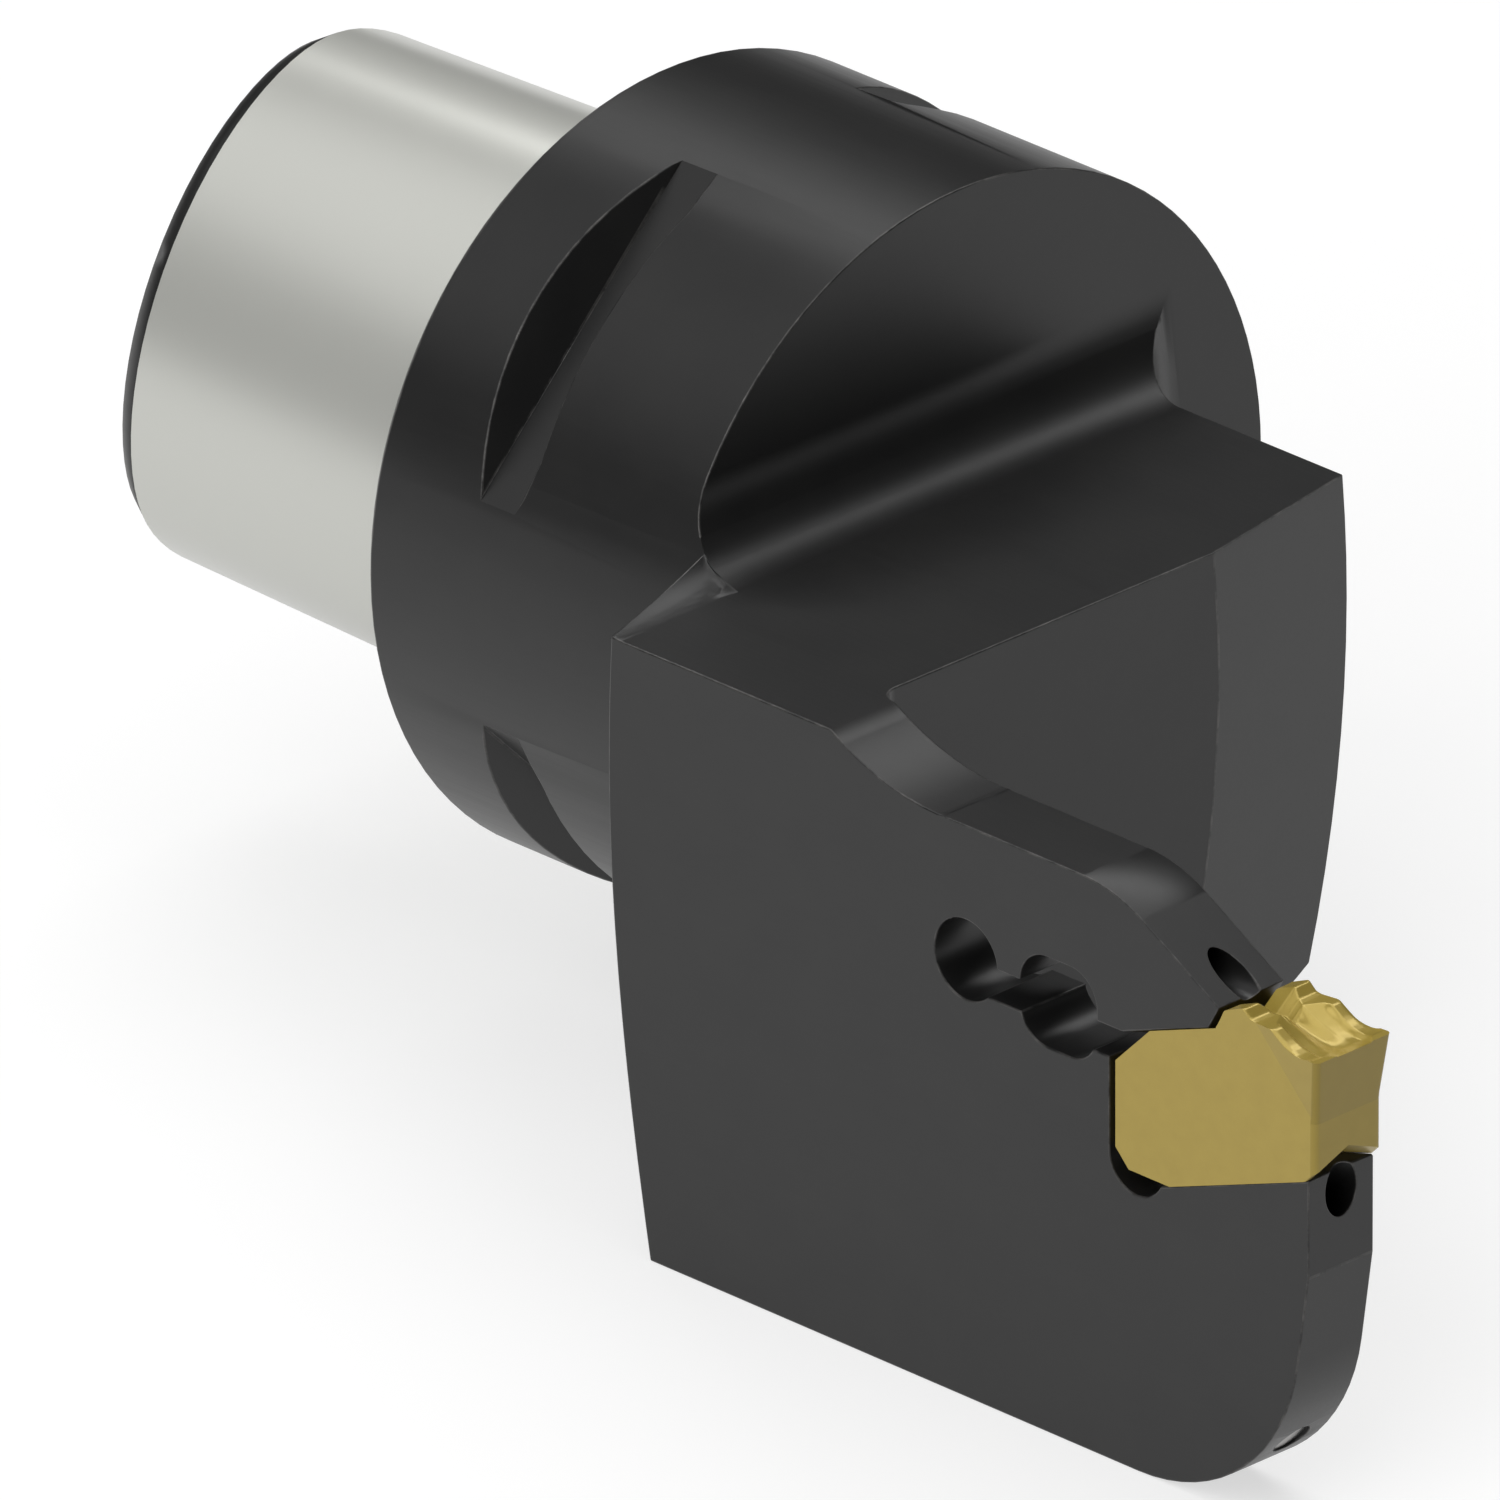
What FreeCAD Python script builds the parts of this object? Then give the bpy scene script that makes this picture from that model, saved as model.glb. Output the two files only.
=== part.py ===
import FreeCAD, Part
import Sketcher
import math
import os

# Parting and grooving tool holder with a polygon taper shank.
# X runs along the shank towards the cutting edge and is zero on the gauge face, the
# rear face of the flange. Y runs across the tool, with the blade on the -Y side, and
# Z runs up. Lengths are in millimetres and angles in degrees.

Vector = FreeCAD.Vector
ALONG = Vector(1, 0, 0)
ACROSS = Vector(0, 1, 0)
UP = Vector(0, 0, 1)

os.makedirs("parts", exist_ok=True)
doc = FreeCAD.newDocument("turning_holder")

SHANK_SIZES = [
    ("shank_length", 24.0, "taper behind the gauge face"),
    ("shank_radius", 14.07, "mean radius of the taper at the gauge face"),
    ("shank_fall", 0.025, "loss of radius per millimetre of taper"),
    ("lobe_offset", 0.9, "eccentricity of the three-lobed section"),
    ("shank_bevel", 1.5, "axial length of the bevel at the shank's end"),
    ("shank_bevel_angle", 30.0, "slope of that bevel"),
    ("entry_radius", 9.0, "bore at the shank's end"),
    ("entry_depth", 17.0, "depth of that bore"),
    ("entry_bevel", 0.8, "bevel at the mouth of that bore"),
    ("catch_radius", 10.2, "groove that the clamping segments grip"),
    ("catch_start", 5.5, "groove's distance from the shank's end"),
    ("catch_width", 5.0, "groove's width at its floor"),
    ("catch_slope", 45.0, "slope of the groove's two sides"),
    ("thread_radius", 6.25, "core of the centre thread M14 x 1.5"),
    ("thread_length", 19.0, "depth of that thread below the entry bore"),
    ("drill_point", 59.0, "half angle at the end of a drilled hole"),
    ("feed_radius", 2.5, "coolant bore on the shank's axis"),
]

FLANGE_SIZES = [
    ("flange_radius", 20.0, "gripper flange"),
    ("flange_length", 20.0, "flange, gauge face to front face"),
    ("flange_bevel", 0.4, "broken edge at the gauge face"),
    ("grip_floor", 17.7, "floor of a gripper slot, from the axis"),
    ("grip_centre", 8.2, "slot's middle, from the gauge face"),
    ("grip_width", 2.4, "slot's width at its floor"),
    ("grip_flank", 30.0, "lean of the slot's two flanks"),
    ("grip_turn", 45.0, "first slot's angle from the top"),
]

HEAD_SIZES = [
    ("head_front", 36.65, "front face of the head"),
    ("head_top", 6.5, "top face above the axis"),
    ("head_depth", 25.0, "bottom face below the axis"),
    ("near_side", 26.65, "near side of head and blade, from the axis"),
    ("shoulder_round", 4.0, "fillet between flange front and head"),
    ("belly_slope", 18.2, "lean of the underside from blade to flange"),
    ("turn_axis", 56.7, "axis of the turned far side, from the shank's axis"),
    ("turn_radius", 67.5, "turned far side"),
    ("cone_radius", 57.0, "where the front cone meets the front face"),
    ("cone_slope", 10.15, "lean of the front cone"),
    ("back_start", 21.3, "where the back cone would meet the flange"),
    ("back_slope", 15.0, "lean of the head's turned back"),
    ("back_round", 1.0, "turned fillet at the foot of the back"),
]

BLADE_SIZES = [
    ("blade_width", 4.3, "thickness of the blade"),
    ("blade_reach", 69.15, "front of the blade"),
    ("blade_root", 1.15, "fillet between blade and head"),
    ("front_break", 11.32, "where the front starts to lean, below the axis"),
    ("front_lean", 8.4, "lean of the lower front"),
    ("corner_round", 10.5, "lower front corner"),
    ("scoop_start", 37.8, "rear end of the scoop above the finger"),
    ("scoop_round", 13.7, "radius of that scoop"),
    ("crest_height", 4.5, "top of the finger, above the axis"),
    ("knee_back", 12.67, "where crest and nose slope would meet, behind the front"),
    ("nose_round", 8.0, "round between crest and nose"),
    ("nose_slope", 29.8, "fall of the nose"),
    ("tip_back", 5.85, "upper end of the nose, behind the front"),
    ("under_back", 6.55, "lower end of the nose, behind the front"),
]

CLAMP_SIZES = [
    ("flex_radius", 2.05, "flex hole behind the finger"),
    ("flex_back", 22.43, "flex hole's centre behind the blade's front"),
    ("flex_drop", 2.4, "flex hole's centre below the axis"),
    ("rear_slot_drop", 3.05, "middle of the slot behind the key hole"),
    ("rear_slot_width", 1.6, "width of that slot"),
    ("key_back", 18.85, "rear end of the key hole, behind the blade's front"),
    ("key_length", 5.0, "length of the key hole"),
    ("key_top", 0.5, "top of the key hole below the axis"),
    ("key_height", 4.62, "height of the key hole"),
    ("key_round", 1.75, "corners of the key hole"),
    ("front_slot_drop", 3.475, "middle of the slot before the key hole"),
    ("front_slot_width", 1.55, "width of that slot"),
    ("neck_height", 2.05, "height at which the neck bends"),
    ("knuckle_radius", 2.8, "round rear end of the finger"),
    ("knuckle_gap", 0.05, "clearance round that end"),
]

SEAT_SIZES = [
    ("seat_angle", 20.0, "rise of the insert seat"),
    ("seat_drop", 6.33, "seat's side edge at the blade's front, below the axis"),
    ("pocket_height", 7.59, "seat to clamp face, square to both"),
    ("rail_angle", 20.0, "lean of each side of the V rails"),
    ("stop_back", 13.02, "rear stop of the insert, behind the blade's front"),
    ("relief_radius", 1.78, "relief hole in the pocket's corner"),
    ("relief_drop", 9.0, "relief hole's centre below the axis"),
    ("mouth_back", 12.17, "bevel on the clamp face, behind the blade's front"),
    ("mouth_length", 0.42, "length of that bevel"),
]

INSERT_SIZES = [
    ("insert_fit", 0.03, "clearance between insert and holder"),
    ("insert_width", 4.4, "thickness of the insert's body"),
    ("edge_width", 5.0, "length of the cutting edge"),
    ("edge_overhang", 0.85, "cutting edge before the blade's front"),
    ("edge_height", 0.05, "cutting edge above the axis"),
    ("edge_land", 0.25, "level land behind the cutting edge"),
    ("side_relief", 7.0, "clearance below the side edges"),
    ("side_slope", 43.0, "fall of the line where that clearance ends"),
    ("front_relief", 6.5, "clearance below the cutting edge"),
    ("relief_height", 3.35, "height of the front clearance face"),
    ("foot_bevel", 0.45, "bevel under the front face"),
    ("rear_bevel", 0.43, "bevels beside the rear land"),
    ("heel_height", 0.9, "upright part of the heel bevel"),
    ("heel_length", 1.3, "level part of the heel bevel"),
    ("heel_drop", 9.6, "insert's lowest line below the axis"),
    ("brow_bevel", 2.67, "bevel on the insert's rear top corner"),
    ("hump_back", 6.83, "foot of the hump, behind the cutting edge"),
    ("hump_brow", 6.29, "upper end of the hump's rear face, behind the edge"),
    ("hump_brow_height", 0.64, "height of that end"),
    ("hump_crest", 5.05, "front end of the hump's top, behind the edge"),
    ("hump_height", 1.15, "height of the hump"),
    ("ledge_start", 4.55, "rear end of the ledge before the hump, behind the edge"),
    ("ledge_end", 3.1, "front end of that ledge, behind the edge"),
    ("ledge_height", 0.72, "height of the ledge"),
    ("rake_round", 3.1, "radius of the chip groove"),
    ("valley_width", 1.7, "valley between the two humps"),
    ("valley_height", 0.25, "floor of that valley"),
]

COOLANT_SIZES = [
    ("cross_place", 32.0, "cross channel, from the gauge face"),
    ("cross_height", 3.3, "cross channel above the axis"),
    ("cross_radius", 1.5, "cross channel"),
    ("cross_past", 0.4, "how far it runs past the channels in the blade"),
    ("screw_radius", 2.0, "tapped mouth of the cross channel, M4"),
    ("screw_length", 4.0, "set screw in that mouth"),
    ("screw_sink", 0.6, "screw below the turned far side"),
    ("socket_width", 2.0, "hexagon socket across its flats"),
    ("socket_depth", 1.8, "depth of that socket"),
    ("upper_radius", 0.8, "upper coolant channel"),
    ("upper_fall", 4.0, "fall of the upper channel"),
    ("lower_radius", 1.0, "lower coolant channel"),
    ("lower_slope", 36.0, "slope of the lower channel"),
    ("outlet_drop", 7.35, "lower outlet on the blade's front, below the axis"),
    ("outlet_slope", 45.0, "slope of the lower outlet"),
    ("plug_length", 3.0, "plug in the lower channel"),
    ("plug_sink", 0.25, "plug below the blade's corner"),
    ("overrun", 6.0, "how far a cutter reaches past what it cuts"),
]

SECTION_POINTS = 72


class Size:
    # A number together with the sheet formula that gives it.
    def __init__(self, value, formula):
        self.value = float(value)
        self.formula = formula

    def __add__(self, other):
        other = as_size(other)
        return Size(self.value + other.value, f"({self.formula} + {other.formula})")

    def __sub__(self, other):
        other = as_size(other)
        return Size(self.value - other.value, f"({self.formula} - {other.formula})")

    def __mul__(self, other):
        other = as_size(other)
        return Size(self.value * other.value, f"({self.formula} * {other.formula})")

    def __truediv__(self, other):
        other = as_size(other)
        return Size(self.value / other.value, f"({self.formula} / {other.formula})")

    def __neg__(self):
        return Size(-self.value, f"(0 - {self.formula})")


def as_size(number):
    if isinstance(number, Size):
        return number
    return Size(number, f"({number:.9g})")


def sine(angle):
    return Size(math.sin(math.radians(angle.value)), f"sin({angle.formula})")


def cosine(angle):
    return Size(math.cos(math.radians(angle.value)), f"cos({angle.formula})")


def tangent(angle):
    return Size(math.tan(math.radians(angle.value)), f"tan({angle.formula})")


def root(number):
    return Size(math.sqrt(number.value), f"sqrt({number.formula})")


# One row of the sheet for each driving size, with its meaning beside it.
def fill_sheet(groups):
    sheet = doc.addObject("Spreadsheet::Sheet", "sizes")
    sizes = {}
    row = 1
    for group in groups:
        for alias, value, meaning in group:
            sheet.set(f"A{row}", meaning)
            sheet.set(f"B{row}", str(value))
            sheet.setAlias(f"B{row}", alias)
            sizes[alias] = Size(value, f"sizes.{alias}")
            row += 1
    doc.recompute()
    return sizes


# A corner of an outline. Where bend is given, the edge that leaves the corner is an
# arc of that radius, which turns left or right.
def corner(x, y, bend=None, left=True):
    return as_size(x), as_size(y), bend, left


def arc_edge(start, end, radius, left):
    chord = end - start
    half = chord.Length / 2
    side = Vector(-chord.y, chord.x, 0).normalize()
    rise = math.sqrt(max(radius ** 2 - half ** 2, 0))
    centre = (start + end) * 0.5 + side * (rise if left else -rise)
    first, last = (start, end) if left else (end, start)
    begin = math.atan2(first.y - centre.y, first.x - centre.x)
    finish = math.atan2(last.y - centre.y, last.x - centre.x)
    if finish < begin:
        finish += 2 * math.pi
    return Part.ArcOfCircle(Part.Circle(centre, UP, radius), begin, finish)


# Ties one end of an edge, or an arc's radius, to its formula.
def constrain(sketch, kind, size, *places):
    number = sketch.addConstraint(Sketcher.Constraint(kind, *places, size.value))
    sketch.setExpression(f"Constraints[{number}]", size.formula)


# Draws a closed outline with every corner and radius tied to the sheet.
def draw(sketch, corners):
    count = len(corners)
    points = [Vector(x.value, y.value, 0) for x, y, bend, left in corners]
    ends = []
    for index, (x, y, bend, left) in enumerate(corners):
        start = points[index]
        end = points[(index + 1) % count]
        if bend is None:
            sketch.addGeometry(Part.LineSegment(start, end))
        else:
            sketch.addGeometry(arc_edge(start, end, bend.value, left))
        ends.append((1, 2) if left else (2, 1))
    for index, (x, y, bend, left) in enumerate(corners):
        after = (index + 1) % count
        first, last = ends[index]
        meet = Sketcher.Constraint("Coincident", index, last, after, ends[after][0])
        sketch.addConstraint(meet)
        constrain(sketch, "DistanceX", x, -1, 1, index, first)
        constrain(sketch, "DistanceY", y, -1, 1, index, first)
        if bend is not None:
            constrain(sketch, "Radius", bend, index)


def sketch_in(body, name, role):
    sketch = body.newObject("Sketcher::SketchObject", name)
    planes = [plane for plane in body.Origin.OriginFeatures if plane.Role == role]
    sketch.AttachmentSupport = [(planes[0], "")]
    sketch.MapMode = "FlatFace"
    return sketch


# A flat piece: the outline lies on a plane that is lifted along its normal, and the
# piece is as deep as told, back against that normal.
def slab(name, role, corners, lift, depth):
    body = doc.addObject("PartDesign::Body", name)
    sketch = sketch_in(body, f"{name}_outline", role)
    sketch.setExpression("AttachmentOffset.Base.z", lift.formula)
    draw(sketch, corners)
    pad = body.newObject("PartDesign::Pad", f"{name}_pad")
    pad.Profile = sketch
    pad.Reversed = True
    pad.setExpression("Length", depth.formula)
    return body


# A turned piece: the outline gives radii along an axis that is parallel to X.
def turned(name, corners, axis_place):
    body = doc.addObject("PartDesign::Body", name)
    sketch = sketch_in(body, f"{name}_outline", "XY_Plane")
    sketch.setExpression("AttachmentOffset.Base.y", axis_place.formula)
    draw(sketch, corners)
    turning = body.newObject("PartDesign::Revolution", f"{name}_turning")
    turning.Profile = sketch
    turning.ReferenceAxis = (sketch, ["H_Axis"])
    turning.Angle = 360
    return body


# Puts a piece at a place, turned about one axis.
def place(thing, x, y, z, axis, angle):
    turn = FreeCAD.Rotation(axis, angle.value)
    thing.Placement = FreeCAD.Placement(Vector(x.value, y.value, z.value), turn)
    thing.setExpression("Placement.Base.x", x.formula)
    thing.setExpression("Placement.Base.y", y.formula)
    thing.setExpression("Placement.Base.z", z.formula)
    thing.setExpression("Placement.Rotation.Angle", angle.formula)


def drilling(name, radius, length, x, y, z, axis, angle):
    hole = doc.addObject("Part::Cylinder", name)
    hole.setExpression("Radius", radius.formula)
    hole.setExpression("Height", length.formula)
    place(hole, x, y, z, axis, angle)
    return hole


def block(name, x, y, z, length, width, height):
    box = doc.addObject("Part::Box", name)
    box.setExpression("Length", length.formula)
    box.setExpression("Width", width.formula)
    box.setExpression("Height", height.formula)
    place(box, x, y, z, UP, ZERO)
    return box


def fuse(name, pieces):
    whole = doc.addObject("Part::MultiFuse", name)
    whole.Shapes = pieces
    return whole


def common(name, pieces):
    shared = doc.addObject("Part::MultiCommon", name)
    shared.Shapes = pieces
    return shared


def cut(name, base, tool):
    rest = doc.addObject("Part::Cut", name)
    rest.Base = base
    rest.Tool = tool
    return rest


size = fill_sheet([
    SHANK_SIZES,
    FLANGE_SIZES,
    HEAD_SIZES,
    BLADE_SIZES,
    CLAMP_SIZES,
    SEAT_SIZES,
    INSERT_SIZES,
    COOLANT_SIZES,
])
ZERO = as_size(0)
RIGHT_ANGLE = as_size(90)
over = size["overrun"]
flange_radius = size["flange_radius"]
near_side = size["near_side"]
head_front = size["head_front"]
head_top = size["head_top"]
head_depth = size["head_depth"]
blade_middle = -near_side + size["blade_width"] / 2
blade_reach = size["blade_reach"]
seat_rise = tangent(size["seat_angle"])
seat_cosine = cosine(size["seat_angle"])
rail_rise = tangent(size["rail_angle"])
rail_height = size["blade_width"] / 2 * rail_rise
head_root = size["flange_length"] / 2
flex_place = blade_reach - size["flex_back"]
key_start = blade_reach - size["key_back"]
key_middle = key_start + size["key_length"] / 2
stop_place = blade_reach - size["stop_back"]
mouth_start = blade_reach - size["mouth_back"]
mouth_end = mouth_start + size["mouth_length"]
nose_tip = blade_reach - size["tip_back"]
edge_reach = blade_reach + size["edge_overhang"]
hump_foot = edge_reach - size["hump_back"]
cut_depth = size["blade_width"] + over * 2

# Centre of the round at the blade's lower front corner, under the leaning front.
corner_round = size["corner_round"]
front_lean = size["front_lean"]
corner_drop = head_depth - corner_round
lean_length = (corner_drop - size["front_break"]) * sine(front_lean)
corner_place = blade_reach - (corner_round + lean_length) / cosine(front_lean)


# Height of the seat's side edge at a place along the blade, and of any line that is
# parallel to it and lifted off the seat.
def seat_line(x, lift=None):
    height = -size["seat_drop"] - (blade_reach - x) * seat_rise
    if lift is None:
        return height
    return height + lift / seat_cosine


def clamp_line(x):
    return seat_line(x, size["pocket_height"])


# The taper's section is a three-lobed curve with rounded flats.
def lobed_wire(x, radius, offset):
    points = []
    for step in range(SECTION_POINTS):
        turn = 2 * math.pi * step / SECTION_POINTS
        flat = radius * math.cos(turn)
        flat += offset * (math.cos(4 * turn) - 2 * math.cos(2 * turn))
        side = radius * math.sin(turn)
        side += offset * (math.sin(4 * turn) + 2 * math.sin(2 * turn))
        tilt = math.radians(30)
        y = flat * math.cos(tilt) - side * math.sin(tilt)
        z = flat * math.sin(tilt) + side * math.cos(tilt)
        points.append(Vector(x, y, z))
    curve = Part.BSplineCurve()
    curve.interpolate(Points=points, PeriodicFlag=True)
    return Part.Wire([curve.toShape()])


def make_shank():
    length = size["shank_length"].value
    radius = size["shank_radius"].value
    fall = size["shank_fall"].value
    offset = size["lobe_offset"].value
    bevel = size["shank_bevel"].value
    bevel_fall = bevel * math.tan(math.radians(size["shank_bevel_angle"].value))
    joint = size["flange_bevel"].value
    bevel_radius = radius - fall * (length - bevel)
    taper = Part.makeLoft([
        lobed_wire(joint, radius + fall * joint, offset),
        lobed_wire(bevel - length, bevel_radius, offset),
    ], True, True)
    end = Part.makeLoft([
        lobed_wire(bevel - length, bevel_radius, offset),
        lobed_wire(-length, bevel_radius - bevel_fall, offset),
    ], True, True)
    shank = doc.addObject("Part::Feature", "shank")
    shank.Shape = taper.fuse(end)
    return shank


# The flange is turned, and its four gripper slots are milled square to the radius.
def make_flange():
    length = size["flange_length"]
    bevel = size["flange_bevel"]
    body = turned("flange", [
        corner(0, 0),
        corner(length, 0),
        corner(length, flange_radius),
        corner(bevel, flange_radius),
        corner(0, flange_radius - bevel),
    ], ZERO)
    doc.recompute()
    slot = sketch_in(body, "grip_outline", "XZ_Plane")
    slot.AttachmentOffset = FreeCAD.Placement(Vector(), FreeCAD.Rotation(ALONG, 1))
    slot.setExpression("AttachmentOffset.Rotation.Angle", size["grip_turn"].formula)
    floor = size["grip_floor"]
    middle = size["grip_centre"]
    half = size["grip_width"] / 2
    mouth = half + (flange_radius + over - floor) * tangent(size["grip_flank"])
    draw(slot, [
        corner(middle - half, floor),
        corner(middle + half, floor),
        corner(middle + mouth, flange_radius + over),
        corner(middle - mouth, flange_radius + over),
    ])
    pocket = body.newObject("PartDesign::Pocket", "grip_pocket")
    pocket.Profile = slot
    pocket.SideType = "Symmetric"
    pocket.setExpression("Length", (flange_radius * 2).formula)
    doc.recompute()
    pattern = body.newObject("PartDesign::PolarPattern", "grip_pattern")
    pattern.Originals = [pocket]
    axes = [axis for axis in body.Origin.OriginFeatures if axis.Role == "X_Axis"]
    pattern.Axis = (axes[0], [""])
    pattern.Angle = 360
    pattern.Occurrences = 4
    body.Tip = pattern
    return body


# The head is what three outlines share: its side view, its turned far side and its
# section across the shank. Its back is then turned away down to the flange.
def make_head():
    shoulder = size["flange_length"] + size["shoulder_round"]
    side = slab("head_side", "XZ_Plane", [
        corner(head_root, -head_depth - over),
        corner(head_front, -head_depth - over),
        corner(head_front, head_top),
        corner(shoulder, head_top, size["shoulder_round"], left=False),
        corner(size["flange_length"], head_top + size["shoulder_round"]),
        corner(size["flange_length"], flange_radius + over),
        corner(head_root, flange_radius + over),
    ], near_side, near_side + flange_radius + over)

    turn_radius = size["turn_radius"]
    cone_length = (turn_radius - size["cone_radius"]) * tangent(size["cone_slope"])
    turn_reach = size["turn_axis"] + flange_radius + over
    far = turned("head_far", [
        corner(head_root, 0),
        corner(head_front, 0),
        corner(head_front, size["cone_radius"]),
        corner(head_front - cone_length, turn_radius),
        corner(shoulder, turn_radius, size["shoulder_round"], left=False),
        corner(size["flange_length"], turn_radius + size["shoulder_round"]),
        corner(size["flange_length"], turn_reach),
        corner(head_root, turn_reach),
    ], -size["turn_axis"])

    belly = size["belly_slope"]
    belly_foot = flange_radius * sine(belly)
    belly_drop = flange_radius * cosine(belly)
    belly_run = (head_depth - belly_drop) / tangent(belly)
    rim = root(flange_radius * flange_radius - head_top * head_top)
    section = slab("head_section", "YZ_Plane", [
        corner(-rim, head_top),
        corner(-near_side, head_top),
        corner(-near_side, -head_depth),
        corner(belly_foot - belly_run, -head_depth),
        corner(belly_foot, -belly_drop, flange_radius),
        corner(flange_radius, 0, flange_radius),
    ], head_front, head_front - head_root)

    slope = size["back_slope"]
    touch = size["back_round"] / tangent((slope + 90) / 2)
    back_start = size["back_start"]
    back_reach = near_side + over
    back = turned("head_back", [
        corner(head_root - over, flange_radius),
        corner(back_start - touch, flange_radius, size["back_round"]),
        corner(back_start + touch * sine(slope), flange_radius + touch * cosine(slope)),
        corner(back_start + back_reach * tangent(slope), flange_radius + back_reach),
        corner(head_root - over, flange_radius + back_reach),
    ], ZERO)
    block_of_head = common("head_block", [side, far, section])
    return cut("head", block_of_head, back)


# The blade's side view, with the finger's back and nose, before the cuts.
def make_blade():
    blade_root = head_front - over
    crest = size["crest_height"]
    slope = size["nose_slope"]
    knee = blade_reach - size["knee_back"]
    under = blade_reach - size["under_back"]
    touch = size["nose_round"] * tangent(slope / 2)
    tip_fall = (nose_tip - knee) * tangent(slope)
    lean_reach = corner_place + corner_round * cosine(front_lean)
    scoop = size["scoop_round"]
    scoop_left = scoop - (head_top - crest)
    scoop_length = root(scoop * scoop - scoop_left * scoop_left)
    blade = slab("blade_plate", "XZ_Plane", [
        corner(blade_root, -head_depth),
        corner(corner_place, -head_depth, corner_round),
        corner(lean_reach, -corner_drop - corner_round * sine(front_lean)),
        corner(blade_reach, -size["front_break"]),
        corner(blade_reach, -size["seat_drop"]),
        corner(under, clamp_line(under)),
        corner(nose_tip, crest - tip_fall),
        corner(knee + touch * cosine(slope), crest - touch * sine(slope), size["nose_round"]),
        corner(knee - touch, crest),
        corner(size["scoop_start"] + scoop_length, crest, scoop, left=False),
        corner(size["scoop_start"], head_top),
        corner(blade_root, head_top),
    ], near_side, size["blade_width"])

    fillet = size["blade_root"]
    blade_far = size["blade_width"] - near_side
    root_fillet = slab("blade_root", "XY_Plane", [
        corner(head_front - fillet, blade_far - fillet),
        corner(head_front + fillet, blade_far - fillet),
        corner(head_front + fillet, blade_far, fillet, left=False),
        corner(head_front, blade_far + fillet),
        corner(head_front - fillet, blade_far + fillet),
    ], head_top, head_top + head_depth)
    return [blade, root_fillet]


# A V rail or V groove along the seat, from one place to another. Its base line is
# lifted off the seat's side edge, its apex is measured from that base, and the rest
# of the V opens up or down from the apex.
def vee(name, start, end, base, apex, opening):
    half = size["blade_width"] / 2 + over
    spread = apex + half * rail_rise * opening
    length = (end - start) / seat_cosine
    body = slab(name, "YZ_Plane", [
        corner(-half, spread),
        corner(0, apex),
        corner(half, spread),
    ], length, length)
    place(
        body, start, blade_middle, seat_line(start, base), ACROSS, -size["seat_angle"],
    )
    return body


# The pocket that the insert slides into: a slot as high as the seat is from the
# clamp face, less the V rails that stand on both.
def make_pocket():
    slot_top = size["front_slot_width"] / 2 - size["front_slot_drop"]
    relief_place = stop_place + size["relief_radius"]
    reach = edge_reach + over
    space = slab("pocket_space", "XZ_Plane", [
        corner(stop_place, -size["relief_drop"]),
        corner(relief_place, seat_line(relief_place)),
        corner(reach, seat_line(reach)),
        corner(reach, clamp_line(reach)),
        corner(mouth_end, clamp_line(mouth_end)),
        corner(mouth_start, slot_top),
        corner(stop_place, slot_top),
    ], near_side + over, cut_depth)
    rails = fuse("pocket_rails", [
        vee("seat_rail", stop_place, reach, ZERO, rail_height, -1),
        vee("clamp_rail", mouth_end, reach, size["pocket_height"], -rail_height, 1),
    ])
    return cut("pocket", space, rails)


# The cuts that leave the finger on a thin neck: flex hole, two slots and a key hole.
def make_flex_cuts():
    near = -near_side - over
    flex = drilling(
        "flex_hole", size["flex_radius"], cut_depth,
        flex_place, near, -size["flex_drop"], ALONG, -RIGHT_ANGLE,
    )
    relief = drilling(
        "relief_hole", size["relief_radius"], cut_depth,
        stop_place + size["relief_radius"], near, -size["relief_drop"],
        ALONG, -RIGHT_ANGLE,
    )
    left = key_start
    right = left + size["key_length"]
    high = -size["key_top"]
    low = high - size["key_height"]
    bend = size["key_round"]
    key_hole = slab("key_hole", "XZ_Plane", [
        corner(left + bend, low),
        corner(right - bend, low, bend),
        corner(right, low + bend),
        corner(right, high - bend, bend),
        corner(right - bend, high),
        corner(left + bend, high, bend),
        corner(left, high - bend),
        corner(left, low + bend, bend),
    ], near_side + over, cut_depth)
    rear_slot = block(
        "rear_slot", flex_place, near,
        -size["rear_slot_drop"] - size["rear_slot_width"] / 2,
        key_middle - flex_place, cut_depth, size["rear_slot_width"],
    )
    front_slot = block(
        "front_slot", key_middle, near,
        -size["front_slot_drop"] - size["front_slot_width"] / 2,
        mouth_start - key_middle, cut_depth, size["front_slot_width"],
    )
    return [flex, relief, key_hole, rear_slot, front_slot]


# The bore from the shank's end: mouth, clamping groove, thread and coolant bore.
def make_bore():
    end = -size["shank_length"]
    entry = size["entry_radius"]
    catch = size["catch_radius"]
    flank = (catch - entry) / tangent(size["catch_slope"])
    groove = end + size["catch_start"]
    entry_end = end + size["entry_depth"]
    thread = size["thread_radius"]
    thread_end = entry_end + size["thread_length"]
    feed = size["feed_radius"]
    feed_end = size["cross_place"] + size["cross_radius"]
    point = tangent(size["drill_point"])
    return turned("shank_bore", [
        corner(end - over, 0),
        corner(feed_end + feed / point, 0),
        corner(feed_end, feed),
        corner(thread_end + (thread - feed) / point, feed),
        corner(thread_end, thread),
        corner(entry_end, thread),
        corner(entry_end, entry),
        corner(groove + flank * 2 + size["catch_width"], entry),
        corner(groove + flank + size["catch_width"], catch),
        corner(groove + flank, catch),
        corner(groove, entry),
        corner(end + size["entry_bevel"], entry),
        corner(end - over, entry + size["entry_bevel"] + over),
    ], ZERO)


lower_fall = tangent(size["lower_slope"])
far_wall = root(
    size["turn_radius"] * size["turn_radius"] - size["cross_height"] * size["cross_height"]
) - size["turn_axis"]
screw_end = far_wall - size["screw_sink"]
screw_start = screw_end - size["screw_length"]


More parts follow.
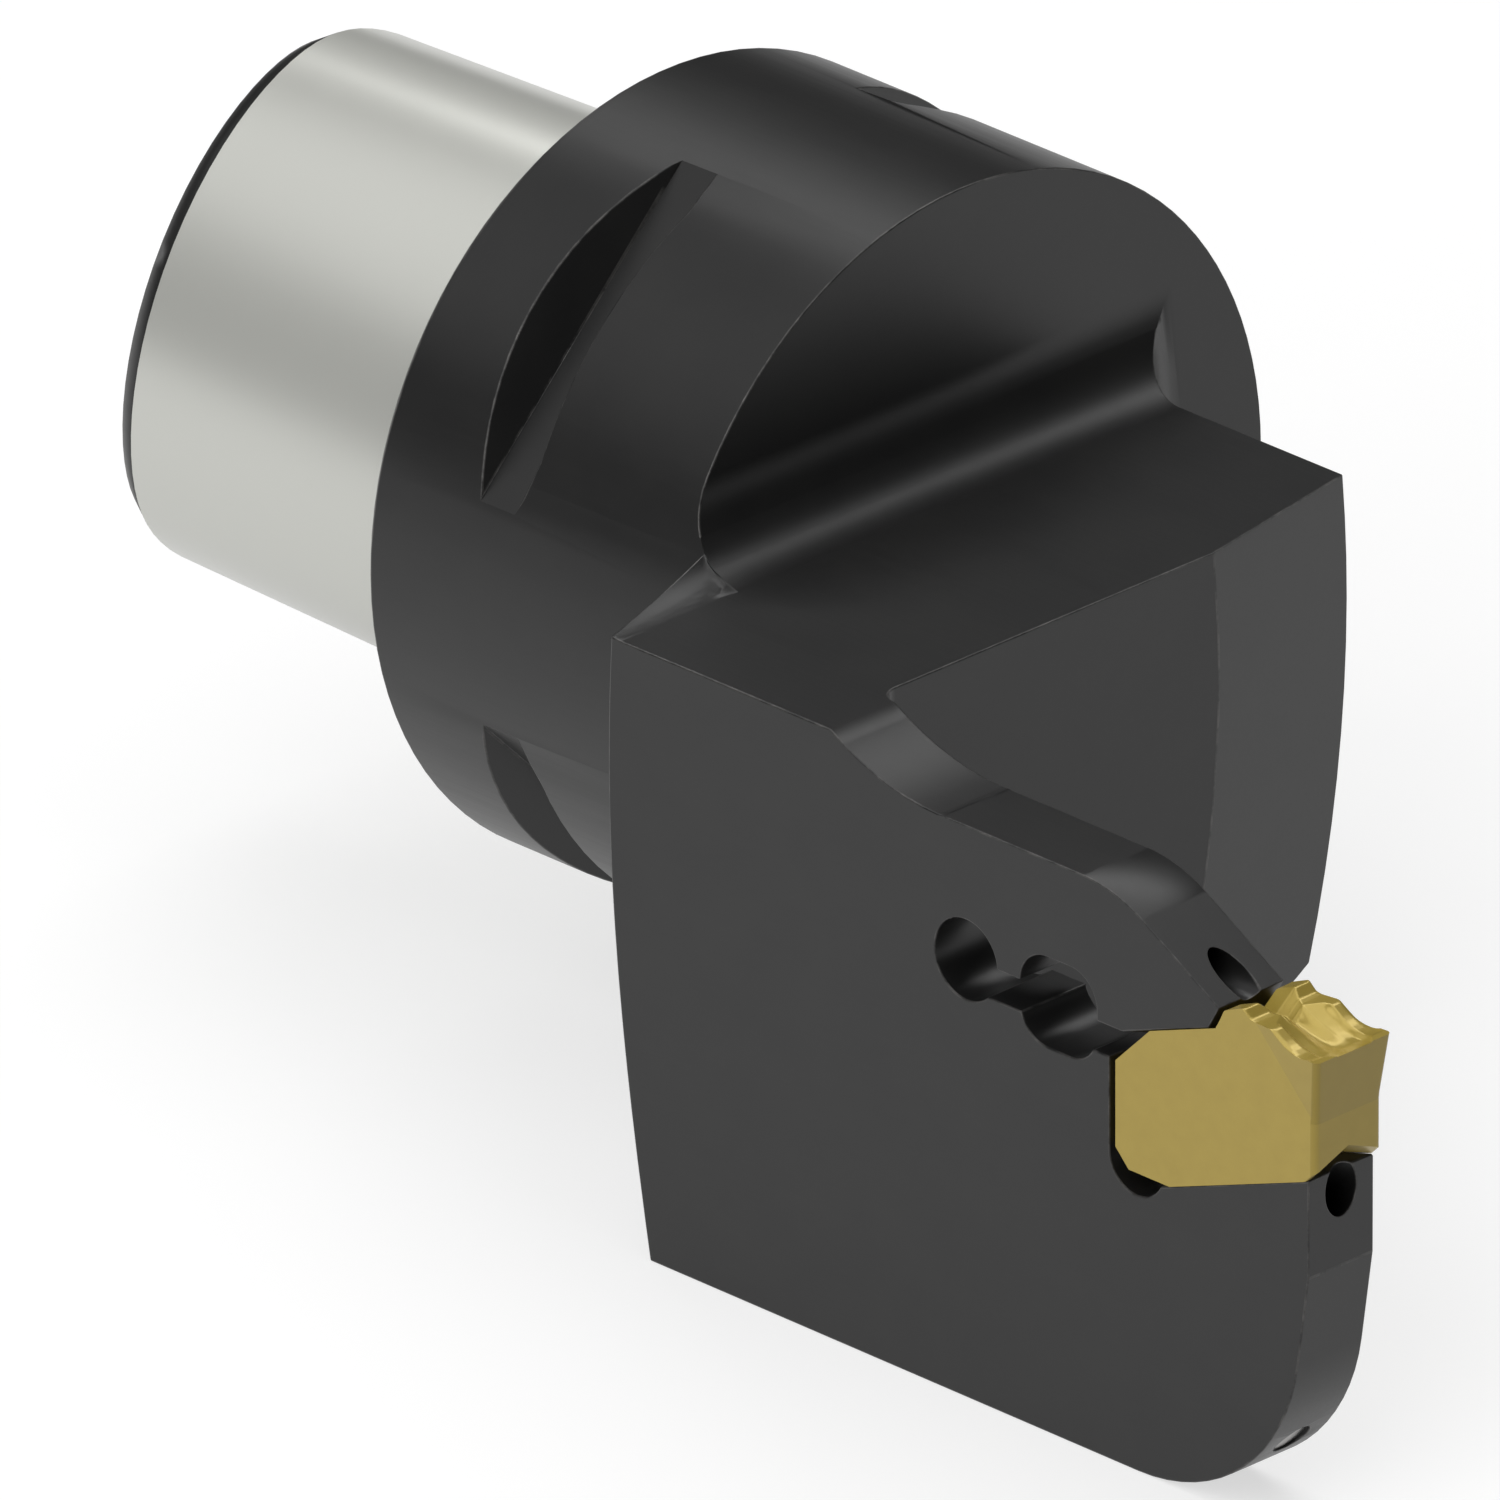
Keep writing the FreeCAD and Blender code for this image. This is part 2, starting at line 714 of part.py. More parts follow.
# Distance along the lower channel from the cross channel to the blade's corner.
def lower_length():
    run = corner_place - size["cross_place"]
    fall = corner_drop + size["cross_height"]
    slope = size["lower_slope"]
    along = run * cosine(slope) + fall * sine(slope)
    aside = fall * cosine(slope) - run * sine(slope)
    return along + root(corner_round * corner_round - aside * aside)


# Coolant runs from the shank's bore through the cross channel into the blade, where
# one channel ends on the finger's nose and the other below the insert.
def make_channels():
    start = size["cross_place"]
    high = size["cross_height"]
    cross_start = blade_middle - size["lower_radius"] - size["cross_past"]
    cross = drilling(
        "cross_channel", size["cross_radius"], screw_end - cross_start,
        start, cross_start, high, ALONG, -RIGHT_ANGLE,
    )
    mouth = drilling(
        "cross_mouth", size["screw_radius"], size["screw_length"] + over,
        start, screw_start, high, ALONG, -RIGHT_ANGLE,
    )
    upper_length = (nose_tip - start) / cosine(size["upper_fall"]) + over
    upper = drilling(
        "upper_channel", size["upper_radius"], upper_length,
        start, blade_middle, high, ACROSS, RIGHT_ANGLE + size["upper_fall"],
    )
    lower = drilling(
        "lower_channel", size["lower_radius"], lower_length() + over,
        start, blade_middle, high, ACROSS, RIGHT_ANGLE + size["lower_slope"],
    )
    outlet_rise = tangent(size["outlet_slope"])
    meeting = high + start * lower_fall + size["outlet_drop"] + blade_reach * outlet_rise
    meeting = meeting / (lower_fall + outlet_rise)
    meeting_height = high - (meeting - start) * lower_fall
    outlet_length = (blade_reach - meeting) / cosine(size["outlet_slope"]) + over
    outlet = drilling(
        "lower_outlet", size["lower_radius"], outlet_length,
        meeting, blade_middle, meeting_height, ACROSS, RIGHT_ANGLE - size["outlet_slope"],
    )
    return [cross, mouth, upper, lower, outlet]


# The region in front of and above the cuts, with a round rear end about the neck.
def finger_region(name, radius):
    neck = size["neck_height"]
    slot = -size["front_slot_drop"]
    reach = edge_reach + over
    return slab(name, "XZ_Plane", [
        corner(flex_place, -size["flex_drop"]),
        corner(key_middle, -size["rear_slot_drop"]),
        corner(mouth_start, slot),
        corner(reach, slot),
        corner(reach, head_top + over),
        corner(flex_place, head_top + over),
        corner(flex_place, neck + radius, radius),
        corner(flex_place - radius, neck, radius),
        corner(flex_place, neck - radius),
    ], near_side + over, cut_depth)


def make_steel():
    steel = fuse("steel", [make_shank(), make_flange(), make_head()] + make_blade())
    milled = steel
    for void in [make_bore(), make_pocket()] + make_flex_cuts() + make_channels():
        milled = cut(f"less_{void.Name}", milled, void)
    radius = size["knuckle_radius"]
    finger_space = finger_region("finger_space", radius + size["knuckle_gap"])
    holder = cut("holder_body", milled, finger_space)
    finger = common("clamp_finger", [milled, finger_region("finger_outline", radius)])
    return [holder, finger]


# The insert's side view. Its lower and upper side edges run beside the V rails.
def make_insert():
    half = size["insert_width"] / 2
    fit = size["insert_fit"]
    apex = rail_height + fit
    seat_side = apex - half * rail_rise
    clamp_side = size["pocket_height"] - apex + half * rail_rise
    rear = stop_place + fit
    high = size["edge_height"]
    front = edge_reach - size["relief_height"] * tangent(size["front_relief"])
    foot = front - size["foot_bevel"]
    heel_run = (size["heel_drop"] - size["seat_drop"] + seat_side / seat_cosine) / seat_rise
    brow = rear + size["brow_bevel"]
    ledge_end = edge_reach - size["ledge_end"]
    outline = [
        corner(rear, size["heel_height"] - size["heel_drop"]),
        corner(rear + size["heel_length"], -size["heel_drop"]),
        corner(blade_reach - heel_run, -size["heel_drop"]),
        corner(foot, seat_line(foot, seat_side)),
        corner(front, seat_line(foot, seat_side) + size["foot_bevel"]),
        corner(front, high - size["relief_height"]),
        corner(edge_reach, high),
        corner(edge_reach - size["edge_land"], high, size["rake_round"], left=False),
        corner(ledge_end, size["ledge_height"]),
        corner(edge_reach - size["ledge_start"], size["ledge_height"]),
        corner(edge_reach - size["hump_crest"], size["hump_height"]),
        corner(edge_reach - size["hump_brow"], size["hump_brow_height"]),
        corner(hump_foot, seat_line(hump_foot, clamp_side)),
        corner(brow, seat_line(brow, clamp_side)),
        corner(rear, seat_line(brow, clamp_side) - size["brow_bevel"]),
    ]
    width = size["insert_width"]
    body = slab("insert_body", "XZ_Plane", outline, half - blade_middle, width)
    edge_half = size["edge_width"] / 2
    wide = slab("insert_wide", "XZ_Plane", outline, edge_half - blade_middle, edge_half * 2)

    relief = tangent(size["side_relief"])
    depth = (edge_half - half) / relief
    crown = edge_half + over * relief
    wedge_length = size["hump_back"] + over
    wedge = slab("side_clearance", "YZ_Plane", [
        corner(-half, -depth),
        corner(half, -depth),
        corner(crown, over),
        corner(-crown, over),
    ], over, wedge_length + over)
    place(wedge, edge_reach, blade_middle, high, ACROSS, size["side_slope"])
    blank = fuse("insert_blank", [body, common("insert_edge", [wide, wedge])])

    land = half - size["rear_bevel"]
    bevels = []
    for name, side in (("near_bevel", -1), ("far_bevel", 1)):
        bevels.append(slab(name, "XY_Plane", [
            corner(rear, blade_middle + land * side, None, side > 0),
            corner(rear + size["rear_bevel"], blade_middle + half * side),
            corner(rear + size["rear_bevel"], blade_middle + (half + over) * side),
            corner(rear - over, blade_middle + (half + over) * side),
            corner(rear - over, blade_middle + land * side),
        ], over, size["heel_drop"] + over * 2))
    valley = block(
        "valley", hump_foot - over, blade_middle - size["valley_width"] / 2,
        size["valley_height"], ledge_end - hump_foot + over, size["valley_width"], over,
    )
    grooves = [
        vee("seat_groove", rear - over, edge_reach + over, ZERO, apex, -1),
        vee("clamp_groove", rear - over, hump_foot, size["pocket_height"], -apex, 1),
    ]
    cuts = fuse("insert_cuts", bevels + grooves + [valley])
    return cut("cutting_insert", blank, cuts)


# The plug fills the end of the lower channel at the blade's corner.
def make_corner_plug():
    slope = size["lower_slope"]
    start = lower_length() - size["plug_sink"] - size["plug_length"]
    return drilling(
        "blade_corner_plug", size["lower_radius"], size["plug_length"],
        size["cross_place"] + start * cosine(slope), blade_middle,
        size["cross_height"] - start * sine(slope), ACROSS, RIGHT_ANGLE + slope,
    )


# A set screw with a hexagon socket closes the cross channel's mouth.
def make_cross_plug():
    screw = drilling(
        "plug_screw", size["screw_radius"], size["screw_length"],
        size["cross_place"], screw_start, size["cross_height"], ALONG, -RIGHT_ANGLE,
    )
    socket = doc.addObject("Part::Prism", "plug_socket")
    socket.Polygon = 6
    socket.setExpression("Circumradius", (size["socket_width"] / root(as_size(3))).formula)
    socket.setExpression("Height", (size["socket_depth"] + over).formula)
    place(
        socket, size["cross_place"], screw_end - size["socket_depth"],
        size["cross_height"], ALONG, -RIGHT_ANGLE,
    )
    return cut("cross_channel_plug", screw, socket)


# Nothing is written until every object has worked and every piece is one sound solid.
def check_document():
    for thing in doc.Objects:
        if "Invalid" in thing.State or "Error" in thing.State:
            raise RuntimeError(f"{thing.Name} failed: {thing.State}")


def write_pieces(pieces):
    doc.recompute()
    check_document()
    for piece in pieces:
        shape = piece.Shape
        if shape.isNull() or not shape.isValid() or len(shape.Solids) != 1:
            raise RuntimeError(f"{piece.Label} is not one sound solid")
    for piece in pieces:
        piece.Shape.exportStep(f"parts/{piece.Label}.step")
        box = piece.Shape.BoundBox
        print(piece.Label, "volume", round(piece.Shape.Volume, 2), "box", box)


write_pieces(make_steel() + [make_insert(), make_corner_plug(), make_cross_plug()])
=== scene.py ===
import bpy
import bmesh
import math
from mathutils import Matrix, Vector
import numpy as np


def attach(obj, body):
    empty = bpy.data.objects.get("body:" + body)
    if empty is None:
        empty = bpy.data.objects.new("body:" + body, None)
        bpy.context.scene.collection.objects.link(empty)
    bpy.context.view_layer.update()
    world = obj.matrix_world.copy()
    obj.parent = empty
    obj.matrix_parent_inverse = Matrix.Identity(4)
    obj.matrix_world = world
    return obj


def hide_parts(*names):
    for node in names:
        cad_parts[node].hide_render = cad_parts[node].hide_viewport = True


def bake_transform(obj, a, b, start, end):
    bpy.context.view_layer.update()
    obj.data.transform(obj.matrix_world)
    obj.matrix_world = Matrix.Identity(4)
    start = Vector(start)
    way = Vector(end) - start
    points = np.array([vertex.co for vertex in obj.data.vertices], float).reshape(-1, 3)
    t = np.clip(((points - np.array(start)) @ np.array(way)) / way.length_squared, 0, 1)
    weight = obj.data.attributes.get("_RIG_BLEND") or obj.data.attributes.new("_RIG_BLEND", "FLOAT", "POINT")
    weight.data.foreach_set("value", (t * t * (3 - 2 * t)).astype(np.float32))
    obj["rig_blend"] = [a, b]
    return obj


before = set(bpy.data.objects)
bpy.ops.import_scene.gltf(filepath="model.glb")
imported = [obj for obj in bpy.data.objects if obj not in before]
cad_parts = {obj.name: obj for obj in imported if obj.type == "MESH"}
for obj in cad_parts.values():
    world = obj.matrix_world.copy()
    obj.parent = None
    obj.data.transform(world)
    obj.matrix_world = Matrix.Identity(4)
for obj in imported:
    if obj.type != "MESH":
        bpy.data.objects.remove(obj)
bpy.context.view_layer.update()
mm = 0.001  # metres

# X runs along the shank to the cutting edge, Y across with the blade on -Y, Z up.
# Sizes in the settings are millimetres and degrees, as in the CAD source, unless a
# note says metres.

shared = {
    "mergeGap": 0.0001,
    "stripAngle": 5.0,
    "normalWeight": 80,  # how far large faces lead the shading
    "breakSegments": 2,
}


def rad(angle):
    return math.radians(angle)


def at(x, y, z):
    return Vector((x * mm, y * mm, z * mm))


def newPiece(name, points, faces):
    mesh = bpy.data.meshes.new(name)
    mesh.from_pydata([tuple(p) for p in points], [], faces)
    piece = bpy.data.objects.new(name, mesh)
    bpy.context.scene.collection.objects.link(piece)
    return piece


# Replaces a piece's mesh by what its modifiers make of it.
def settle(piece):
    graph = bpy.context.evaluated_depsgraph_get()
    graph.update()
    mesh = bpy.data.meshes.new_from_object(
        piece.evaluated_get(graph), preserve_all_data_layers=True, depsgraph=graph)
    piece.modifiers.clear()
    piece.data = mesh


# Joins corners that lie together and turns all faces outwards.
def closeUp(piece, mergeGap=shared["mergeGap"]):
    build = bmesh.new()
    build.from_mesh(piece.data)
    bmesh.ops.remove_doubles(build, verts=build.verts, dist=mergeGap * mm)
    bmesh.ops.recalc_face_normals(build, faces=build.faces)
    build.to_mesh(piece.data)
    build.free()


# Smooth shading that stays crisp at edges sharper than the given angle. Where the face
# attribute strip numbers the faces, an edge between two strips is crisp from a smaller
# angle on, and strip 0 is smooth all over.
def shadeByAngle(piece, angle):
    mesh = piece.data
    mesh.polygons.foreach_set("use_smooth", [True] * len(mesh.polygons))
    mesh.set_sharp_from_angle(angle=rad(angle))
    if "strip" in mesh.attributes:
        build = bmesh.new()
        build.from_mesh(mesh)
        strip = build.faces.layers.int["strip"]
        for edge in build.edges:
            numbers = {face[strip] for face in edge.link_faces}
            if numbers == {0}:
                edge.smooth = True
            elif len(numbers) > 1:
                edge.smooth = edge.calc_face_angle(0) < rad(shared["stripAngle"])
        build.to_mesh(mesh)
        build.free()
    weighted = piece.modifiers.new("evenNormals", "WEIGHTED_NORMAL")
    weighted.keep_sharp = True
    weighted.weight = shared["normalWeight"]
    settle(piece)


# Breaks the edges that pick chooses by their middle and by how far they turn, and marks
# the narrow faces with 1 in the face attribute brokenEdge for the finish to wear.
def breakEdges(piece, width, pick):
    build = bmesh.new()
    build.from_mesh(piece.data)
    weight = build.edges.layers.float.new("bevel_weight_edge")
    for edge in build.edges:
        middle = (edge.verts[0].co + edge.verts[1].co) / 2 / mm
        edge[weight] = float(pick(middle, math.degrees(edge.calc_face_angle(0))))
    build.to_mesh(piece.data)
    build.free()
    while len(piece.data.materials) < 2:
        piece.data.materials.append(None)
    bevel = piece.modifiers.new("brokenEdges", "BEVEL")
    bevel.limit_method = "WEIGHT"
    bevel.width = width * mm
    bevel.segments = shared["breakSegments"]
    bevel.use_clamp_overlap = False
    bevel.material = 1
    settle(piece)
    mesh = piece.data
    marks = mesh.attributes.new("brokenEdge", "FLOAT", "FACE")
    for index, face in enumerate(mesh.polygons):
        marks.data[index].value = float(face.material_index == 1)
        face.material_index = 0
    mesh.materials.clear()


camera = {
    "eye": (1.617825, -1.599591, 1.043520),  # metres
    "right": (0.70518265, 0.70902095, -0.00259338),
    "up": (-0.29761946, 0.29932415, 0.90654714),
    "back": (0.64353717, -0.63850947, 0.42209663),
    "lens": 1266.4,
    "sensor": 36.0,
    "clip": (0.1, 100.0),  # metres
}


def makeCamera():
    data = bpy.data.cameras.new("photoView")
    data.lens = camera["lens"]
    data.sensor_width = camera["sensor"]
    data.clip_start, data.clip_end = camera["clip"]
    viewer = bpy.data.objects.new("photoView", data)
    turn = Matrix((camera["right"], camera["up"], camera["back"])).transposed()
    viewer.matrix_world = Matrix.Translation(camera["eye"]) @ turn.to_4x4()
    bpy.context.scene.collection.objects.link(viewer)
    bpy.context.scene.camera = viewer


# A small builder for node trees, which makes a node with its inputs and links in one call.
class Nodes:
    def __init__(self, tree):
        self.tree = tree

    def add(self, kind, settings=None, **inputs):
        node = self.tree.nodes.new(kind)
        for name, value in (settings or {}).items():
            setattr(node, name, value)
        for name, value in inputs.items():
            self.feed(node.inputs[name.replace("_", " ")], value)
        return node

    def feed(self, socket, value):
        if isinstance(value, bpy.types.NodeSocket):
            self.tree.links.new(value, socket)
        else:
            socket.default_value = value

    def math(self, operation, *values):
        node = self.tree.nodes.new("ShaderNodeMath")
        node.operation = operation
        for index, value in enumerate(values):
            self.feed(node.inputs[index], value)
        return node.outputs[0]

    # a Mix node's sockets share their names, so they are taken by number
    def mixColour(self, share, first, second):
        node = self.tree.nodes.new("ShaderNodeMix")
        node.data_type = "RGBA"
        self.feed(node.inputs[0], share)
        self.feed(node.inputs[6], first)
        self.feed(node.inputs[7], second)
        return node.outputs[2]

    def mixValue(self, share, first, second):
        node = self.tree.nodes.new("ShaderNodeMix")
        self.feed(node.inputs[0], share)
        self.feed(node.inputs[2], first)
        self.feed(node.inputs[3], second)
        return node.outputs[0]

    def spread(self, value, low, high):
        node = self.tree.nodes.new("ShaderNodeMapRange")
        self.feed(node.inputs[0], value)
        node.inputs[1].default_value = low
        node.inputs[2].default_value = high
        return node.outputs[0]


def rgb(red, green, blue):
    return (red, green, blue, 1.0)


def newGroup(name, inputs, outputs):
    group = bpy.data.node_groups.new(name, "ShaderNodeTree")
    for title, kind, value in inputs:
        socket = group.interface.new_socket(title, in_out="INPUT", socket_type=kind)
        socket.default_value = value
    for title, kind in outputs:
        group.interface.new_socket(title, in_out="OUTPUT", socket_type=kind)
    nodes = Nodes(group)
    return group, nodes, nodes.add("NodeGroupInput").outputs, nodes.add("NodeGroupOutput")


# Fine lines that a tool leaves, stretched along one direction, with a soft mottle.
def makeToolMarks():
    group, nodes, given, result = newGroup("toolMarks", [
        ("Place", "NodeSocketVector", (0, 0, 0)),
        ("Line Scale", "NodeSocketVector", (60, 6000, 6000)),
        ("Mottle Scale", "NodeSocketFloat", 300.0),
    ], [("Lines", "NodeSocketFloat"), ("Mottle", "NodeSocketFloat")])
    stretched = nodes.add("ShaderNodeVectorMath", {"operation": "MULTIPLY"})
    nodes.feed(stretched.inputs[0], given["Place"])
    nodes.feed(stretched.inputs[1], given["Line Scale"])
    lines = nodes.add("ShaderNodeTexNoise", Vector=stretched.outputs[0], Scale=1.0,
                      Detail=3.0, Roughness=0.6)
    mottle = nodes.add("ShaderNodeTexNoise", Vector=given["Place"],
                       Scale=given["Mottle Scale"], Detail=5.0, Roughness=0.55)
    nodes.feed(result.inputs["Lines"], lines.outputs[0])
    nodes.feed(result.inputs["Mottle"], mottle.outputs[0])
    return group


# Broken wear along the edges that breakEdges marked.
def makeEdgeWear():
    group, nodes, given, result = newGroup("edgeWear", [
        ("Place", "NodeSocketVector", (0, 0, 0)),
        ("Amount", "NodeSocketFloat", 0.6),
    ], [("Wear", "NodeSocketFloat")])
    mark = nodes.add("ShaderNodeAttribute", {"attribute_name": "brokenEdge"})
    patches = nodes.add("ShaderNodeTexNoise", Vector=given["Place"], Scale=700.0,
                        Detail=4.0, Roughness=0.7)
    worn = nodes.spread(patches.outputs[0], low=0.4, high=0.62)
    wear = nodes.math("MULTIPLY", mark.outputs["Fac"], worn)
    nodes.feed(result.inputs["Wear"], nodes.math("MULTIPLY", wear, given["Amount"]))
    return group


toolMarks = makeToolMarks()
edgeWear = makeEdgeWear()


def newMaterial(name):
    material = bpy.data.materials.new(name)
    material.use_nodes = True
    nodes = Nodes(material.node_tree)
    return material, nodes, material.node_tree.nodes["Principled BSDF"]


# The place on the piece that a pattern reads.
def placeOn(nodes):
    return nodes.add("ShaderNodeTexCoord").outputs["Object"]


def useGroup(nodes, group, **inputs):
    return nodes.add("ShaderNodeGroup", {"node_tree": group}, **inputs).outputs


def bump(nodes, shader, height, look):
    node = nodes.add("ShaderNodeBump", Strength=look["lineBump"],
                     Distance=look["lineDepth"] * mm, Height=height)
    nodes.feed(shader.inputs["Normal"], node.outputs[0])


blackFinish = {
    "colour": rgb(0.0100, 0.0100, 0.0101),
    "patchColour": rgb(0.0130, 0.0129, 0.0126),
    "wornColour": rgb(0.16, 0.155, 0.15),
    "wear": 0.55,
    "roughness": (0.33, 0.42),
    "specular": 0.45,
    "mottleScale": 260.0,
    "mottleEnds": (0.35, 0.7),
    "milledScale": (120, 5200, 5200),  # lines along X
    "milledShare": 0.5,
    "turnedScale": (4200, 60, 60),  # rings round X
    "groundScale": (9000, 150, 150),
    "groundColour": rgb(0.68, 0.685, 0.64),
    "groundMetal": 0.4,
    "groundRoughness": (0.27, 0.33),
    "lineBump": 0.12,
    "lineDepth": 0.004,
    "flangeEnd": 19.98,
    "taperStart": -0.01,
    "taperEnd": -22.5,
    "taperInside": 11.5,
}


# Black oxide on steel, milled along X. On the holder all that lies behind the flange's
# front is turned, and the taper is ground bright from the gauge face to the rear bevel.
def makeBlackSteel(name, withTaper):
    material, nodes, shader = newMaterial(name)
    place = placeOn(nodes)
    look = blackFinish
    marks = useGroup(nodes, toolMarks, Place=place, Line_Scale=look["milledScale"],
                     Mottle_Scale=look["mottleScale"])
    wear = useGroup(nodes, edgeWear, Place=place, Amount=look["wear"])["Wear"]
    mottle = nodes.spread(marks["Mottle"], *look["mottleEnds"])
    colour = nodes.mixColour(mottle, look["colour"], look["patchColour"])
    colour = nodes.mixColour(wear, colour, look["wornColour"])
    rough = nodes.mixValue(marks["Lines"], *look["roughness"])
    metallic = wear
    lines = nodes.math("MULTIPLY", marks["Lines"], look["milledShare"])
    if withTaper:
        split = nodes.add("ShaderNodeSeparateXYZ", Vector=place).outputs
        rings = useGroup(nodes, toolMarks, Place=place, Line_Scale=look["turnedScale"])
        turned = nodes.math("LESS_THAN", split["X"], look["flangeEnd"] * mm)
        lines = nodes.mixValue(turned, lines, rings["Lines"])
        front = nodes.math("LESS_THAN", split["X"], look["taperStart"] * mm)
        rear = nodes.math("GREATER_THAN", split["X"], look["taperEnd"] * mm)
        radial = nodes.add("ShaderNodeCombineXYZ", X=0.0, Y=split["Y"], Z=split["Z"])
        length = nodes.add("ShaderNodeVectorMath", {"operation": "LENGTH"})
        nodes.feed(length.inputs[0], radial.outputs[0])
        outside = nodes.math("GREATER_THAN", length.outputs["Value"],
                             look["taperInside"] * mm)
        taper = nodes.math("MULTIPLY", nodes.math("MULTIPLY", front, rear), outside)
        ground = useGroup(nodes, toolMarks, Place=place, Line_Scale=look["groundScale"])
        groundRough = nodes.mixValue(ground["Lines"], *look["groundRoughness"])
        colour = nodes.mixColour(taper, colour, look["groundColour"])
        rough = nodes.mixValue(taper, rough, groundRough)
        metallic = nodes.mixValue(taper, metallic, look["groundMetal"])
        lines = nodes.mixValue(taper, lines, ground["Lines"])
    nodes.feed(shader.inputs["Base Color"], colour)
    nodes.feed(shader.inputs["Roughness"], rough)
    nodes.feed(shader.inputs["Metallic"], metallic)
    bump(nodes, shader, lines, look)
    shader.inputs["Specular IOR Level"].default_value = look["specular"]
    return material


goldFinish = {
    "colour": rgb(0.48, 0.355, 0.07),
    "patchColour": rgb(0.45, 0.33, 0.064),
    # groundColour here is painted shade: the darker colour of the ground faces, which makes the front and
    # the side facet look less lit
    "groundColour": rgb(0.26, 0.187, 0.022),
    "roughness": (0.21, 0.27),
    "groundRoughness": (0.17, 0.22),
    "metal": 0.3,
    "mottleScale": 900.0,
    "mottleEnds": (0.35, 0.7),
    "grainScale": (4000, 4000, 4000),
    "groundScale": (6000, 150, 6000),  # lines along Y
    "lineBump": 0.2,
    "lineDepth": 0.004,
}


# Gold nitride on sintered carbide. The face attribute ground says how far a face is ground, which draws fine
# lines along Y and lowers its roughness, and also darkens its colour as painted shade, so that the ground
# front and side facet look less lit.
def makeGoldNitride():
    material, nodes, shader = newMaterial("goldNitride")
    place = placeOn(nodes)
    look = goldFinish
    marks = useGroup(nodes, toolMarks, Place=place, Line_Scale=look["grainScale"],
                     Mottle_Scale=look["mottleScale"])
    mottle = nodes.spread(marks["Mottle"], *look["mottleEnds"])
    colour = nodes.mixColour(mottle, look["colour"], look["patchColour"])
    rough = nodes.mixValue(marks["Lines"], *look["roughness"])
    ground = nodes.add("ShaderNodeAttribute", {"attribute_name": "ground"}).outputs["Fac"]
    across = useGroup(nodes, toolMarks, Place=place, Line_Scale=look["groundScale"])["Lines"]
    # painted shade: faces are mixed towards the darker ground colour by the attribute ground
    nodes.feed(shader.inputs["Base Color"],
               nodes.mixColour(ground, colour, look["groundColour"]))
    nodes.feed(shader.inputs["Roughness"], nodes.mixValue(
        ground, rough, nodes.mixValue(across, *look["groundRoughness"])))
    shader.inputs["Metallic"].default_value = look["metal"]
    bump(nodes, shader, nodes.mixValue(ground, marks["Lines"], across), look)
    return material


turnedFinish = {
    "colour": rgb(0.30, 0.30, 0.29),
    "patchColour": rgb(0.42, 0.41, 0.40),
    "roughness": (0.28, 0.42),
    "metal": 1.0,
    "mottleScale": 900.0,
    "grainScale": (5000, 5000, 5000),
    "lineBump": 0.2,
    "lineDepth": 0.004,
}


# Plain steel of the two plugs.
def makeTurnedSteel():
    material, nodes, shader = newMaterial("turnedSteel")
    look = turnedFinish
    marks = useGroup(nodes, toolMarks, Place=placeOn(nodes), Line_Scale=look["grainScale"],
                     Mottle_Scale=look["mottleScale"])
    nodes.feed(shader.inputs["Base Color"],
               nodes.mixColour(marks["Mottle"], look["colour"], look["patchColour"]))
    nodes.feed(shader.inputs["Roughness"],
               nodes.mixValue(marks["Lines"], *look["roughness"]))
    shader.inputs["Metallic"].default_value = look["metal"]
    bump(nodes, shader, marks["Lines"], look)
    return material


holderBlack = makeBlackSteel("holderBlack", True)
fingerBlack = makeBlackSteel("fingerBlack", False)
goldNitride = makeGoldNitride()
turnedSteel = makeTurnedSteel()
print("finishes made")


# Gives a piece its finish, hides the CAD nodes it stands for and hangs it on the body it rides.
def finishPiece(piece, material, body, slot, *nodes):
    piece.data.materials.clear()
    piece.data.materials.append(material)
    if nodes:
        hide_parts(*nodes)
    if body:
        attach(piece, body)


neck = {
    "x": 46.72,
    "z": 2.05,
    "radius": 2.85,
    "overlap": 0.02,
    "seamSlack": 0.06,
    "endSlack": 0.01,
    "bladeFar": -20.0,  # Y that the whole blade is beyond
    "bendStart": 45.8,
    "bendEnd": 48.4,
}


# An edge of the seam between holder and finger, which isn't broken.
def onSeam(middle):
    reach = math.hypot(middle.x - neck["x"], middle.z - neck["z"])
    return abs(reach - neck["radius"]) < neck["seamSlack"] \
        and middle.x < neck["x"] + neck["endSlack"] and middle.y < neck["bladeFar"]


holder = {
    "edgeBreak": 0.08,
    "edgeAngle": 34,
    "creaseAngle": 6,
    "shadeAngle": 24,
    "flatAngle": 0.4,
    "front": 36.65,
    "noseBreak": (69.15, -11.32),  # X and Z
    "bellyBreak": (-12.0, -25.0),  # Y and Z
    "creaseSlack": 0.01,
    "threadCore": 6.25,
    "coreSlack": 0.02,
    "threadRoot": 7.02,
    "threadEnds": (-7.1, 12.1),
}


# Shallow edges that still show: round the head's front face, where the blade's nose
# starts to lean back, and where the underside starts to rise.
def onCrease(middle):
    noseX, noseZ = holder["noseBreak"]
    bellyY, bellyZ = holder["bellyBreak"]
    slack = holder["creaseSlack"]
    return abs(middle.x - holder["front"]) < slack \
        or abs(middle.x - noseX) < slack and abs(middle.z - noseZ) < slack \
        or abs(middle.y - bellyY) < slack and abs(middle.z - bellyZ) < slack


# The round between flange and head runs on outside the flange as a low ridge, between
# the milled round in front and a turned cone behind, down to the head's side.
ridge = {
    "flange": (20.0, 20.0),  # X of its front face, radius
    "round": 4.0,
    "headTop": 6.5,
    "cone": (21.3, 15.0),  # X at the flange's radius, slope
    "nearSide": -26.65,
    "sink": 0.15,
    "slices": 40,
    "steps": 10,
    "halvings": 40,
    "seamWidth": 0.2,
    "seamBeyond": 0.5,
    "seamRise": 1.5,
    "seamMerge": 0.012,
}


